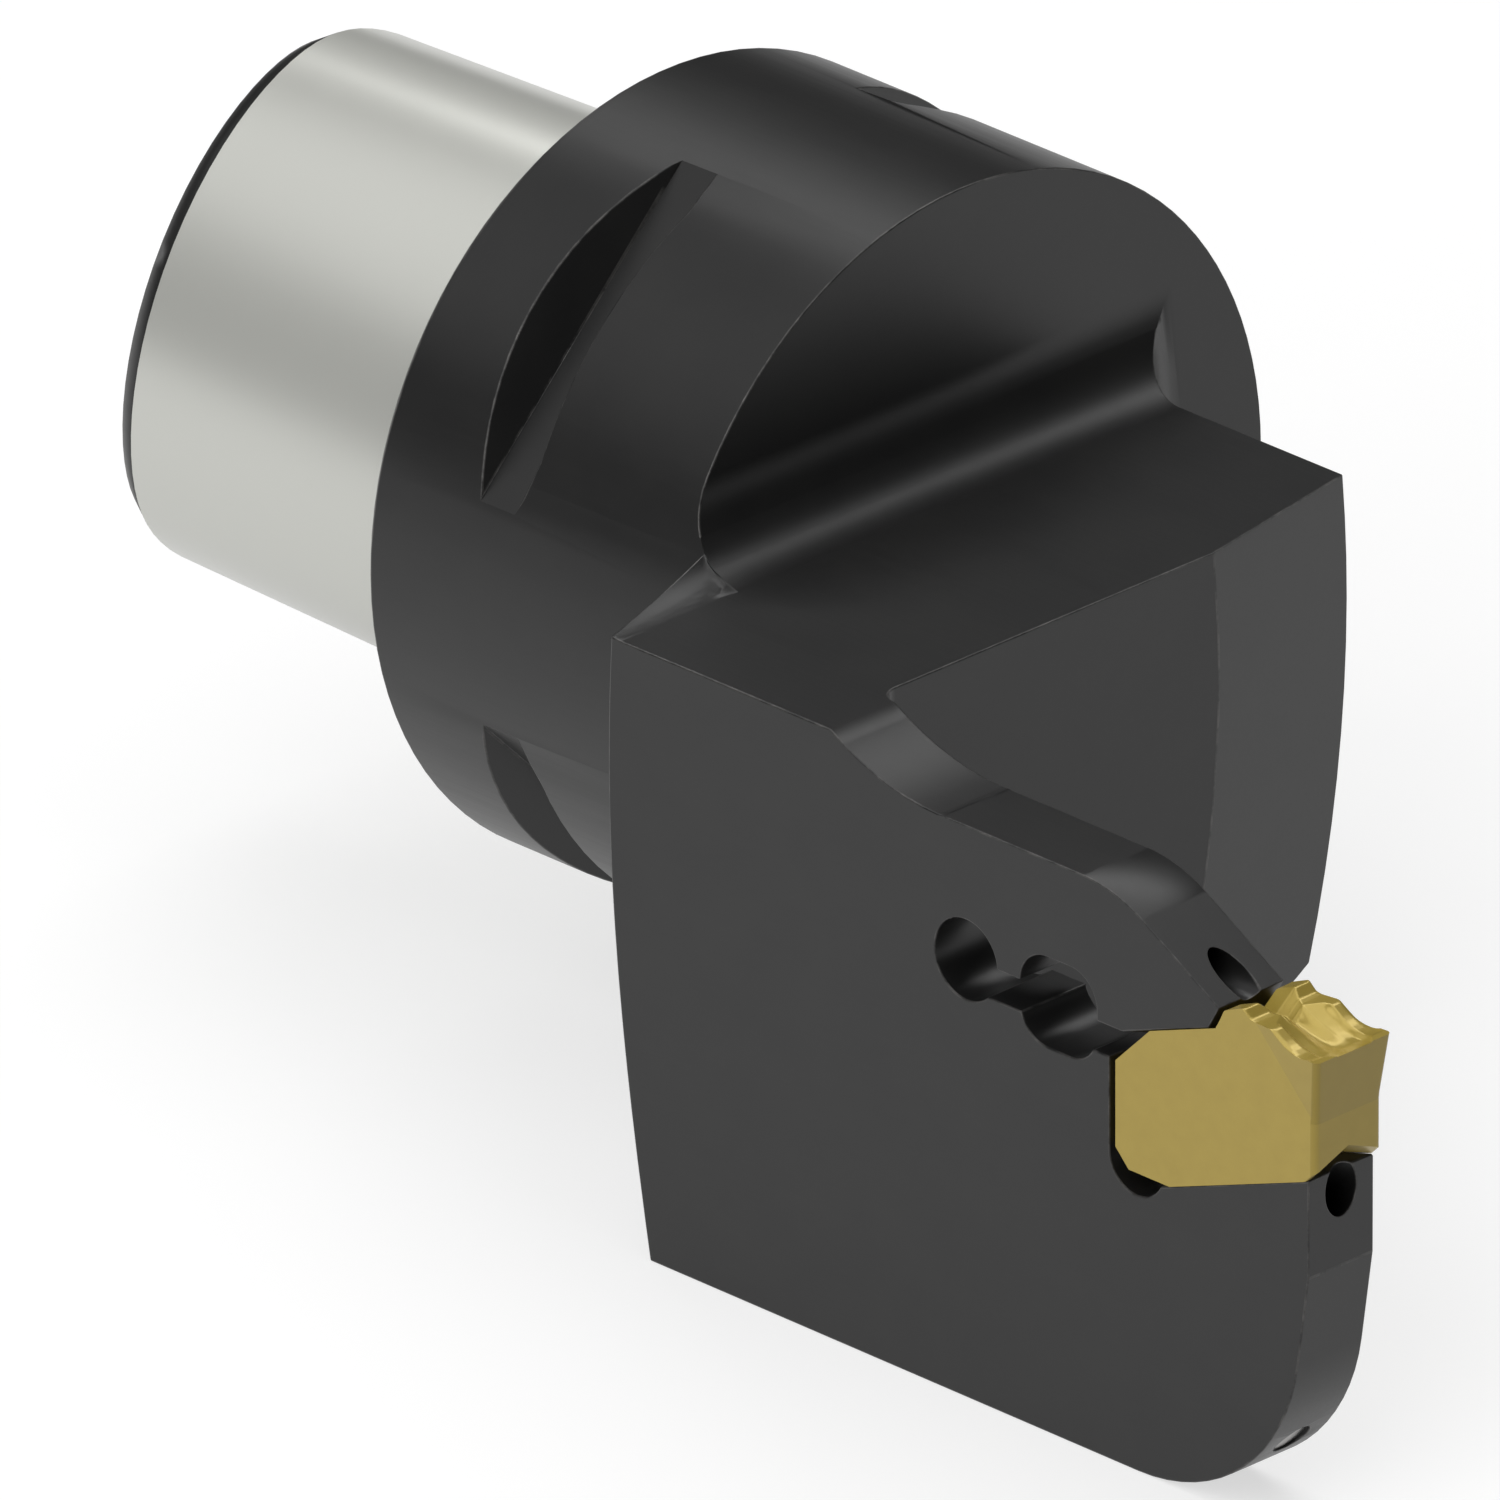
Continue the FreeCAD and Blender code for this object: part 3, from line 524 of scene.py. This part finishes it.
# Where the ridge meets the flange's own round, which is one surface with it.
def onRidgeSeam(middle):
    face, radius = ridge["flange"]
    start = face + ridge["seamBeyond"]
    return abs(math.hypot(middle.y, middle.z) - radius) < ridge["seamWidth"] \
        and start < middle.x < start + ridge["round"] \
        and abs(middle.z - ridge["headTop"]) < ridge["seamRise"] and middle.y < 0


# Slices across Y, each a closed loop: up the cone, down the round, back under the top.
def makeRidge():
    face, radius = ridge["flange"]
    coneStart, slope = ridge["cone"]
    reach = ridge["round"]

    def roundHeight(x):
        run = face + reach - x
        return ridge["headTop"] + reach - math.sqrt(max(reach ** 2 - run ** 2, 0.0))

    def coneX(y, z):
        return coneStart + (math.hypot(y, z) - radius) * math.tan(rad(slope))

    # where the cone and the round meet
    def apexHeight(y):
        low, high = 0.0, radius
        for _ in range(ridge["halvings"]):
            z = (low + high) / 2
            low, high = (z, high) if roundHeight(coneX(y, z)) > z else (low, z)
        return low

    startY = -math.sqrt(radius ** 2 - roundHeight(coneStart) ** 2)
    points = []
    steps = ridge["steps"]
    for k in range(ridge["slices"] + 1):
        y = startY + (ridge["nearSide"] - startY) * k / ridge["slices"]
        base = ridge["headTop"]
        if abs(y) < radius:
            base = max(base, math.sqrt(radius ** 2 - y ** 2))
        top = max(apexHeight(y), base)
        foot = base - ridge["sink"]
        rear = [foot + (top - foot) * j / steps for j in range(steps + 1)]
        loop = [(coneX(y, z), z) for z in rear]
        endX = face + reach
        if base > ridge["headTop"]:
            endX -= math.sqrt(reach ** 2 - (ridge["headTop"] + reach - base) ** 2)
        startX = loop[-1][0]
        front = [startX + (endX - startX) * j / steps for j in range(1, steps + 1)]
        loop += [(x, roundHeight(x)) for x in front]
        loop.append((endX, foot))
        points += [at(x, y, z) for x, z in loop]
    count = 2 * steps + 2
    faces = [tuple(range(count)),
             tuple(reversed(range(ridge["slices"] * count, (ridge["slices"] + 1) * count)))]
    for row in range(ridge["slices"]):
        for k in range(count):
            after = (k + 1) % count
            faces.append((row * count + after, row * count + k,
                          (row + 1) * count + k, (row + 1) * count + after))
    piece = newPiece("ridge", points, faces)
    closeUp(piece)
    return piece


def makeHolder():
    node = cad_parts["holder_body"]
    piece = bpy.data.objects.new("holderSteel", node.data.copy())
    bpy.context.scene.collection.objects.link(piece)
    piece.data.materials.clear()
    closeUp(piece)
    rise = makeRidge()
    joined = piece.modifiers.new("ridge", "BOOLEAN")
    joined.operation = "UNION"
    joined.solver = "EXACT"
    joined.object = rise
    settle(piece)
    bpy.data.objects.remove(rise)
    build = bmesh.new()
    build.from_mesh(piece.data)
    bmesh.ops.remove_doubles(build, verts=build.verts, dist=shared["mergeGap"] * mm)
    seam = [vert for vert in build.verts if onRidgeSeam(vert.co / mm)]
    bmesh.ops.remove_doubles(build, verts=seam, dist=ridge["seamMerge"] * mm)
    bmesh.ops.dissolve_limit(build, angle_limit=rad(holder["flatAngle"]),
                             verts=build.verts, edges=build.edges)
    # the CAD core hole opens up to the root of the thread, whose ridge is its own piece
    low, high = holder["threadEnds"]
    for vert in build.verts:
        radius = math.hypot(vert.co.y, vert.co.z) / mm
        if abs(radius - holder["threadCore"]) < holder["coreSlack"] \
                and low < vert.co.x / mm < high:
            vert.co.y *= holder["threadRoot"] / radius
            vert.co.z *= holder["threadRoot"] / radius
    build.to_mesh(piece.data)
    build.free()
    # the normals that came with the CAD mesh no longer fit
    piece.data.normals_split_custom_set_from_vertices(
        [(0, 0, 0)] * len(piece.data.vertices))

    def breaks(middle, turn):
        least = holder["creaseAngle"] if onCrease(middle) else holder["edgeAngle"]
        return turn > least and not onSeam(middle) and not onRidgeSeam(middle)

    breakEdges(piece, holder["edgeBreak"], breaks)
    shadeByAngle(piece, holder["shadeAngle"])
    finishPiece(piece, holderBlack, "holder", "black_steel", "holder_body")


makeHolder()
print("holder made")

thread = {
    "Start": -6.3,
    "Pitch": 1.5,
    "Turns": 11.6,
    "Root Radius": 7.04,
    "Crest Radius": 6.27,
    "Root Width": 1.32,
    "Crest Width": 0.28,
    "perTurn": 72,
    "shadeAngle": 30,
}


# Ridge of the draw bolt's thread: a trapezoid led along a helix around the shank's axis.
def makeThread():
    tree = bpy.data.node_groups.new("threadRidge", "GeometryNodeTree")
    sizes = ("Start", "Pitch", "Turns", "Root Radius", "Crest Radius", "Root Width",
             "Crest Width")
    for title in sizes:
        tree.interface.new_socket(title, in_out="INPUT", socket_type="NodeSocketFloat")
    tree.interface.new_socket("Finish", in_out="INPUT", socket_type="NodeSocketMaterial")
    tree.interface.new_socket("Ridge", in_out="OUTPUT", socket_type="NodeSocketGeometry")
    nodes = Nodes(tree)
    given = nodes.add("NodeGroupInput").outputs
    depth = nodes.math("SUBTRACT", given["Root Radius"], given["Crest Radius"])
    middle = nodes.math("SUBTRACT", given["Root Radius"], nodes.math("MULTIPLY", depth, 0.5))
    length = nodes.math("MULTIPLY", given["Pitch"], given["Turns"])
    helix = nodes.add("GeometryNodeCurveSpiral", Resolution=thread["perTurn"],
                      Rotations=given["Turns"], Start_Radius=middle, End_Radius=middle,
                      Height=length)
    upright = nodes.add("GeometryNodeSetCurveNormal", {"mode": "Z_UP"},
                        Curve=helix.outputs["Curve"])
    section = nodes.add("GeometryNodeCurvePrimitiveQuadrilateral", {"mode": "TRAPEZOID"},
                        Height=depth, Bottom_Width=given["Root Width"],
                        Top_Width=given["Crest Width"], Offset=0.0)
    turned = nodes.add("GeometryNodeTransform", Geometry=section.outputs["Curve"],
                       Rotation=(0.0, 0.0, rad(-90)))
    wound = nodes.add("GeometryNodeCurveToMesh", Curve=upright.outputs["Curve"],
                      Profile_Curve=turned.outputs["Geometry"], Fill_Caps=True)
    place = nodes.add("ShaderNodeCombineXYZ", X=given["Start"], Y=0.0, Z=0.0)
    laid = nodes.add("GeometryNodeTransform", Geometry=wound.outputs["Mesh"],
                     Translation=place.outputs[0], Rotation=(0.0, rad(90), 0.0))
    real = nodes.add("GeometryNodeRealizeInstances", Geometry=laid.outputs["Geometry"])
    painted = nodes.add("GeometryNodeSetMaterial", Geometry=real.outputs["Geometry"],
                        Material=given["Finish"])
    result = nodes.add("NodeGroupOutput")
    nodes.feed(result.inputs["Ridge"], painted.outputs["Geometry"])

    piece = newPiece("boltThread", [], [])
    winding = piece.modifiers.new("threadRidge", "NODES")
    winding.node_group = tree
    for socket in tree.interface.items_tree:
        if socket.name in sizes:
            scale = 1.0 if socket.name == "Turns" else mm
            winding[socket.identifier] = thread[socket.name] * scale
        elif socket.name == "Finish":
            winding[socket.identifier] = holderBlack
    settle(piece)
    closeUp(piece)
    shadeByAngle(piece, thread["shadeAngle"])
    finishPiece(piece, holderBlack, "holder", "black_steel")


makeThread()
print("thread made")

finger = {
    "near": -26.652,
    "far": -22.348,
    "crest": 4.5,
    "kneeStart": 54.3515,
    "kneeRadius": 8.0,
    "noseSlope": 29.8,
    "fineEnd": 49.0,
    "tip": (63.3, 0.594),  # X and Z, as the next five
    "under": (62.6, -0.637),
    "underRidge": (62.003, -1.687),
    "ridgeStart": (57.668, -3.265),
    "mouthEnd": (57.4, -2.53),
    "mouthStart": (56.98, -2.70),
    "key": (50.3, 55.3, 1.75),  # left, right, corner radius
    "keyShoulder": -2.25,
    "flex": (46.72, -2.4, 2.05),  # X, Z, radius
    "steps": {"neck": 16, "crest": 2, "knee": 18, "key": 14, "flex": 30, "seam": 24},
    "coolant": (0.8, 4.0, 32.0, 3.3),  # radius, fall, X and Z where it starts
    "drill": (60.0, 24.0, 48),  # length, its middle from the start, sides
    "mergeGap": 0.001,
    "edgeBreak": 0.08,
    "edgeAngle": 28,
}


def arc(centre, radius, start, end, steps):
    return [(centre[0] + radius * math.cos(rad(start + (end - start) * k / steps)),
             centre[1] + radius * math.sin(rad(start + (end - start) * k / steps)))
            for k in range(steps + 1)]


def run(start, end, steps):
    return [(start[0] + (end[0] - start[0]) * k / steps,
             start[1] + (end[1] - start[1]) * k / steps) for k in range(steps + 1)]


def bearing(centre, point):
    return math.degrees(math.atan2(point[1] - centre[1], point[0] - centre[0]))


def makeFinger():
    seamRadius = neck["radius"] + neck["overlap"]
    centre = (neck["x"], neck["z"])
    topX = neck["x"] - math.sqrt(seamRadius ** 2 - (finger["crest"] - neck["z"]) ** 2)
    flexX, flexZ, flexRadius = finger["flex"]
    gap = neck["z"] - flexZ
    along = (gap ** 2 + seamRadius ** 2 - flexRadius ** 2) / (2 * gap)
    low = (neck["x"] - math.sqrt(seamRadius ** 2 - along ** 2), neck["z"] - along)
    keyLeft, keyRight, keyRound = finger["key"]
    shoulder = finger["keyShoulder"]
    slope = finger["noseSlope"]
    steps = finger["steps"]
    fineEnd = (finger["fineEnd"], finger["crest"])
    kneeCentre = (finger["kneeStart"], finger["crest"] - finger["kneeRadius"])
    slotFar = (flexX + math.sqrt(flexRadius ** 2 - (shoulder - flexZ) ** 2), shoulder)
    outline = run((topX, finger["crest"]), fineEnd, steps["neck"])
    outline += run(fineEnd, (finger["kneeStart"], finger["crest"]), steps["crest"])[1:]
    outline += arc(kneeCentre, finger["kneeRadius"], 90, 90 - slope, steps["knee"])[1:]
    # the mouth's end comes twice, because the ridge has a corner more there
    outline += [finger["tip"], finger["under"], finger["mouthEnd"], finger["mouthEnd"],
                finger["mouthStart"], (keyRight, finger["mouthStart"][1])]
    outline += arc((keyRight - keyRound, shoulder), keyRound, 0, 90, steps["key"])
    outline += arc((keyLeft + keyRound, shoulder), keyRound, 90, 180, steps["key"])
    outline += [slotFar]
    outline += arc((flexX, flexZ), flexRadius, bearing((flexX, flexZ), slotFar),
                   bearing((flexX, flexZ), low), steps["flex"])[1:]
    outline += arc(centre, seamRadius, bearing(centre, low),
                   bearing(centre, (topX, finger["crest"])) - 360, steps["seam"])[1:-1]
    # in the middle of its width a ridge fits the groove on top of the insert
    ridged = list(outline)
    under = outline.index(finger["under"])
    ridged[under] = finger["underRidge"]
    ridged[under + 1] = finger["ridgeStart"]
    middle = (finger["near"] + finger["far"]) / 2
    points = []
    for y, shape in ((finger["near"], outline), (middle, ridged), (finger["far"], outline)):
        points += [at(x, y, z) for x, z in shape]
    count = len(outline)
    faces = [tuple(range(count)), tuple(reversed(range(2 * count, 3 * count)))]
    for layer in range(2):
        for k in range(count):
            after = (k + 1) % count
            faces.append((layer * count + after, layer * count + k,
                          (layer + 1) * count + k, (layer + 1) * count + after))
    piece = newPiece("springFinger", points, faces)
    closeUp(piece, finger["mergeGap"])

    radius, fall, start, height = finger["coolant"]
    length, reach, sides = finger["drill"]
    drill = bpy.data.meshes.new("drill")
    cutter = bmesh.new()
    bmesh.ops.create_cone(cutter, cap_ends=True, segments=sides, radius1=radius * mm,
                          radius2=radius * mm, depth=length * mm)
    cutter.to_mesh(drill)
    cutter.free()
    tool = bpy.data.objects.new("drill", drill)
    bpy.context.scene.collection.objects.link(tool)
    centreX = start + reach * math.cos(rad(fall))
    tool.matrix_world = Matrix.Translation(
        at(centreX, middle, height - (centreX - start) * math.tan(rad(fall)))
    ) @ Matrix.Rotation(rad(90 + fall), 4, "Y")
    cut = piece.modifiers.new("coolantHole", "BOOLEAN")
    cut.operation = "DIFFERENCE"
    cut.solver = "EXACT"
    cut.object = tool
    settle(piece)
    bpy.data.objects.remove(tool)

    def breaks(place, turn):
        return turn > finger["edgeAngle"] and not onSeam(place)

    breakEdges(piece, finger["edgeBreak"], breaks)
    shadeByAngle(piece, finger["edgeAngle"])
    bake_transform(piece, "holder", "finger", start=at(neck["bendStart"], middle, neck["z"]),
             end=at(neck["bendEnd"], middle, neck["z"]))
    finishPiece(piece, fingerBlack, None, "black_steel", "clamp_finger")


makeFinger()
print("finger made")

insert = {
    "middle": -24.5,
    "half": 2.2,
    "edgeHalf": 2.5,
    "front": 70.0,
    "edge": 0.05,
    "rear": 56.16,
    "rearLand": 1.77,
    "heel": (57.46, -9.6),  # X and Z
    "heelTop": -8.7,
    "heelStep": 0.05,
    "foot": 0.45,
    "relief": 6.5,
    "reliefHeight": 3.35,
    "sideRelief": 7.0,
    "sideSlope": 43.0,
    "cornerRound": 0.32,
    "flareFoot": -2.97,
    "flareEnd": 65.79,
    "flatPlace": (60.0, -5.0),  # X and Z where the body has its full flat width
    "seat": (69.15, -6.33, 20.0),  # X, Z, slope
    "pocket": 7.59,
    "vee": 20.0,
    "veeHeight": 0.8125,
    "brow": 58.83,
    "humpFoot": 63.17,
    "humpStep": 0.02,
    "mergeGap": 0.001,
    "shadeAngle": 26,
    # ground value of the side facet and the front strips, which also sets how dark their painted shade is
    "groundAndShadeSide": 0.18,
    "groundAndShadeFront": {1: 0.65, 2: 0.65, 3: 0.4},  # by how far a strip is below the edge
}

# Heights over the cutting end, each as distance behind the edge and height.
rake = {
    "rail": [(0.0, 0.05), (0.4, 0.05), (0.62, -0.02), (0.95, -0.06), (1.4, -0.03), (1.8, 0.05),
             (2.1, 0.16), (2.4, 0.32), (3.05, 0.71), (3.2, 0.73), (4.2, 0.69), (4.55, 0.74),
             (5.05, 1.14), (5.3, 1.05), (6.29, 0.64), (6.55, 0.12), (6.83, -0.38)],
    "shoulder": [(0.0, 0.0), (0.35, -0.13), (0.8, -0.24), (1.3, -0.23), (1.8, -0.13),
                 (2.4, 0.07), (3.0, 0.33), (3.75, 0.71)],
    "channel": [(0.0, 0.0), (0.35, -0.15), (0.9, -0.32), (1.4, -0.37), (2.0, -0.32),
                (2.7, -0.18), (3.3, -0.02), (3.75, 0.09), (5.2, 0.10), (6.2, -0.10),
                (6.6, -0.50), (6.83, -1.25)],
    "railRound": 0.07,
    "bowlRound": 0.12,
    "cornerBlur": 0.05,
    "bowlEnd": 3.75,
    "railStep": (1.28, 1.66),
    "channelHalf": (0.74, 1.0),  # at the ledge, at the edge
    "ledgeCorner": (4.1, 0.74),  # behind the edge, off the middle
    "ledgeLean": 0.75,
    "ledgeBlend": 0.07,
    "crest": (5.05, 1.2),  # behind the edge, off the middle
    "valleySlope": 40.0,
    "landInside": (1.1, 1.45),  # at the edge, at the land's depth
    "landDepth": 0.4,
    "landEdge": 0.06,
    "columns": 220,
    "slices": 150,
    "roundSlices": 14,
}


# Height of the seat's slope at X, lifted at a right angle to it.
def seatHeight(x, lift=0.0):
    reach, height, slope = insert["seat"]
    return height - (reach - x) * math.tan(rad(slope)) + lift / math.cos(rad(slope))


# How far a V groove reaches in, off the middle by w.
def veeRise(w):
    return insert["veeHeight"] - abs(w) * math.tan(rad(insert["vee"]))


# Height of a profile at a distance behind the edge.
def follow(profile, s):
    for (s0, z0), (s1, z1) in zip(profile, profile[1:]):
        if s <= s1:
            share = (s - s0) / (s1 - s0)
            return z0 + (z1 - z0) * share
    return profile[-1][1]


def smooth(low, high, value):
    share = min(max((value - low) / (high - low), 0.0), 1.0)
    return share * share * (3 - 2 * share)


# Profile sampled with a little rounding, so that its corners aren't knife sharp.
def rounded(profile, s, reach):
    offsets = (-1.0, -0.5, 0.0, 0.5, 1.0)
    low, high = profile[0][0], profile[-1][0]
    values = [follow(profile, min(max(s + reach * k, low), high)) for k in offsets]
    return sum(values) / len(values)


# Greater of two heights, with a soft corner between them.
def softMax(first, second):
    blur = rake["cornerBlur"]
    return (first + second + math.sqrt((first - second) ** 2 + blur ** 2)) / 2


# Height of the cutting end at a distance behind the edge and off the middle.
def rakeHeight(s, w):
    side = abs(w)
    bowlRound = rake["bowlRound"]
    rail = rounded(rake["rail"], s, rake["railRound"])
    # front edge of the ledge, which leans towards the corners and dips in the middle
    cornerS, cornerW = rake["ledgeCorner"]
    end = rake["bowlEnd"]
    ledge = cornerS - (side - cornerW) * rake["ledgeLean"]
    if side < cornerW:
        ledge = end + (cornerS - end) * side / cornerW
    along = min(s * end / ledge, end)
    channel = rounded(rake["channel"], along, bowlRound)
    shoulder = rounded(rake["shoulder"], along, bowlRound)
    near, far = rake["channelHalf"]
    half = far + (near - far) * along / end
    bowl = channel + (shoulder - channel) * smooth(0.0, half, side)
    bowl += (rail - bowl) * smooth(*rake["railStep"], side)
    # behind it stand the two humps with the valley between
    crestS, crestW = rake["crest"]
    share = min(max((s - cornerS) / (crestS - cornerS), 0.0), 1.0)
    wall = cornerW + (crestW - cornerW) * share
    slope = math.tan(rad(rake["valleySlope"]))
    floor = rounded(rake["channel"], max(s, end), bowlRound)
    hump = rail - softMax(wall - side, 0.0) * slope
    blend = rake["ledgeBlend"]
    height = bowl + (softMax(floor, hump) - bowl) * smooth(ledge - blend, ledge + blend, s)
    # flat lands at the two corners of the edge
    inner, outer = rake["landInside"]
    inside = inner + (outer - inner) * s / rake["landDepth"]
    blur = rake["landEdge"]
    land = smooth(inside, inside + blur, side)
    land *= 1 - smooth(rake["landDepth"] - blur, rake["landDepth"] + blur, s)
    return height + (insert["edge"] - height) * land


# Half the insert's width, which flares towards the cutting edge.
def halfWidth(x, z):
    lean = insert["sideSlope"]
    lift = (x - insert["front"]) * math.sin(rad(lean))
    lift += (z - insert["edge"]) * math.cos(rad(lean))
    return max(insert["edgeHalf"] + lift * math.tan(rad(insert["sideRelief"])), insert["half"])


# X of the front face, which leans back below the edge.
def frontX(z):
    drop = min(max(insert["edge"] - z, 0.0), insert["reliefHeight"])
    return insert["front"] - drop * math.tan(rad(insert["relief"]))


# One slice across the insert, as a closed loop of points from the rear lower corner
# along the bottom, up the front, back over the top. share runs from -1 to 1 between
# the corner rounds, and turn from 0 to 90 through them.
def insertSlice(share, turn):
    corner = insert["cornerRound"]
    setBack = corner * (1 - math.cos(rad(turn)))

    def across(x, z):
        half = halfWidth(x, z)
        if turn:
            return math.copysign(half - corner + corner * math.sin(rad(turn)), share)
        return share * (half - corner)

    w = across(*insert["flatPlace"])
    rearX = insert["rear"] + max(abs(w) - insert["rearLand"], 0.0)
    heelX, heelZ = insert["heel"]
    rise = math.tan(rad(insert["seat"][2]))
    levelEnd = insert["seat"][0] - (seatHeight(insert["seat"][0], veeRise(w)) - heelZ) / rise
    loop = [(rearX, insert["heelTop"]), (heelX, heelZ),
            (max(levelEnd, heelX + insert["heelStep"]), heelZ)]
    base = insert["front"] - insert["reliefHeight"] * math.tan(rad(insert["relief"]))
    base -= setBack
    foot = base - insert["foot"]
    loop.append((foot, seatHeight(foot, veeRise(w))))
    loop.append((base, seatHeight(foot, veeRise(w)) + insert["foot"]))
    loop.append((base, insert["edge"] - insert["reliefHeight"]))
    flare = insert["flareFoot"]
    loop.append((frontX(flare) - setBack, flare))
    length = insert["front"] - insert["humpFoot"]
    for k in range(rake["columns"] + 1):
        s = length * k / rake["columns"]
        # the row starts on the front face and ends at the foot of the humps
        z = rakeHeight(s, across(insert["front"] - s, 0.0))
        x = frontX(z) - setBack
        x = x + (insert["humpFoot"] - x) * k / rake["columns"]
        loop.append((x, z))
    lift = insert["pocket"] - veeRise(w)
    loop.append((insert["humpFoot"] - insert["humpStep"],
                 seatHeight(insert["humpFoot"], lift)))
    browZ = seatHeight(insert["brow"], insert["pocket"] - veeRise(insert["half"]))
    # where the groove's flank meets the rear bevel
    level = seatHeight(0, lift)
    browX = (browZ - insert["brow"] - level) / (rise - 1)
    loop.append((browX, level + browX * rise))
    loop.append((rearX, browZ - insert["brow"] + rearX))
    return [at(x, insert["middle"] + across(x, z), z) for x, z in loop]


# Place of the cutting edge in a slice's loop, after six points of the bottom and front
# and the foot of the flare.
insertEdge = 7


def makeInsert():
    slices = []
    rounds = rake["roundSlices"]
    for k in range(rounds, 0, -1):
        slices.append(insertSlice(-1, 90 * k / rounds))
    for k in range(rake["slices"] + 1):
        slices.append(insertSlice(-1 + 2 * k / rake["slices"], 0))
    for k in range(1, rounds + 1):
        slices.append(insertSlice(1, 90 * k / rounds))
    count = len(slices[0])
    points = [p for loop in slices for p in loop]
    faces = []
    for row in range(len(slices) - 1):
        for k in range(count):
            after = (k + 1) % count
            faces.append((row * count + k, (row + 1) * count + k,
                          (row + 1) * count + after, row * count + after))
    # side faces: the flared facet beside the edge, and the flat body
    flareEnd = next(k for k in range(insertEdge, count)
                    if slices[0][k].x < insert["flareEnd"] * mm)
    for row in (0, len(slices) - 1):
        first = row * count
        flared = [first + k for k in range(insertEdge - 1, flareEnd + 1)]
        flat = [first + k for k in [*range(flareEnd, count), *range(insertEdge)]]
        faces += [tuple(flared), tuple(flat)]
    piece = newPiece("partingInsert", points, faces)
    # each run of faces across the insert is a strip of its own, and the rake is strip 0;
    # both attributes are made before either is filled, because making one moves the other
    marks = piece.data.attributes
    marks.new("strip", "INT", "FACE")
    marks.new("ground", "FLOAT", "FACE")
    strip = marks["strip"].data
    ground = marks["ground"].data
    rakeEnd = insertEdge + rake["columns"]
    sides = (len(slices) - 1) * count
    # ground marks the grinding and also darkens the face as painted shade on the side facet and the front
    # below the edge
    for index in range(len(faces)):
        place = index % count
        if index >= sides:
            strip[index].value = index
            flared = (index - sides) % 2 == 0
            ground[index].value = insert["groundAndShadeSide"] if flared else 0.0
        elif not insertEdge <= place < rakeEnd:
            strip[index].value = place + 1
            ground[index].value = insert["groundAndShadeFront"].get(insertEdge - place, 0.0)
    closeUp(piece, insert["mergeGap"])
    shadeByAngle(piece, insert["shadeAngle"])
    finishPiece(piece, goldNitride, "insert", "coated_carbide", "cutting_insert")


makeInsert()
print("insert made")

for name in ("blade_corner_plug", "cross_channel_plug"):
    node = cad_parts[name]
    node.data.materials.clear()
    node.data.materials.append(turnedSteel)
print("plugs finished")

stage = {
    "floor": -25.02,
    "reach": 8.0,  # metres, as the lamps' distances and sizes
    "floorColour": rgb(0.42, 0.42, 0.42),
    "floorGlow": 0.645,
    "world": rgb(1.0, 1.0, 1.0),
    "worldStrength": 0.03,
    "aim": (35.0, -10.0, -5.0),
    "lamps": {
        "topLamp": {"from": (0.05, 0.05, 1.0), "distance": 0.9, "size": (0.8, 0.8),
                    "watts": 3.5},
        "backLamp": {"from": (-0.36, 0.48, 0.80), "distance": 0.9, "size": (0.80, 0.30),
                     "watts": 2.3},
        "leftLamp": {"from": (-0.62, -0.35, 0.65), "distance": 0.9, "size": (0.6, 0.6),
                     "watts": 0.9},
        "frontLamp": {"from": (0.12, -0.82, 0.56), "distance": 1.0, "size": (0.95, 0.95),
                      "watts": 6.0},
    },
}


# A pale floor that camera and gloss see as near white, soft lamps and a dim world.
def makeStage():
    reach = stage["reach"]
    z = stage["floor"] * mm
    floor = newPiece("floor", [(-reach, -reach, z), (reach, -reach, z), (reach, reach, z),
                               (-reach, reach, z)], [(0, 1, 2, 3)])
    material, nodes, shader = newMaterial("paleFloor")
    shader.inputs["Base Color"].default_value = stage["floorColour"]
    shader.inputs["Roughness"].default_value = 1.0
    shader.inputs["Specular IOR Level"].default_value = 0.0
    shader.inputs["Emission Color"].default_value = rgb(1, 1, 1)
    rays = nodes.add("ShaderNodeLightPath").outputs
    seen = nodes.math("MAXIMUM", rays["Is Camera Ray"], rays["Is Glossy Ray"])
    seen = nodes.math("MAXIMUM", seen, rays["Is Transmission Ray"])
    nodes.feed(shader.inputs["Emission Strength"],
               nodes.math("MULTIPLY", seen, stage["floorGlow"]))
    floor.data.materials.append(material)

    world = bpy.data.worlds.new("studio")
    world.use_nodes = True
    sky = world.node_tree.nodes["Background"]
    sky.inputs["Color"].default_value = stage["world"]
    sky.inputs["Strength"].default_value = stage["worldStrength"]
    bpy.context.scene.world = world

    for name, lamp in stage["lamps"].items():
        data = bpy.data.lights.new(name, "AREA")
        data.shape = "RECTANGLE"
        data.size, data.size_y = lamp["size"]
        data.energy = lamp["watts"]
        light = bpy.data.objects.new(name, data)
        direction = Vector(lamp["from"]).normalized()
        light.location = at(*stage["aim"]) + direction * lamp["distance"]
        light.rotation_euler = direction.to_track_quat("Z", "Y").to_euler()
        bpy.context.scene.collection.objects.link(light)


makeCamera()
makeStage()
bpy.context.scene.view_settings.view_transform = "Standard"
bpy.context.view_layer.update()
print("stage set")
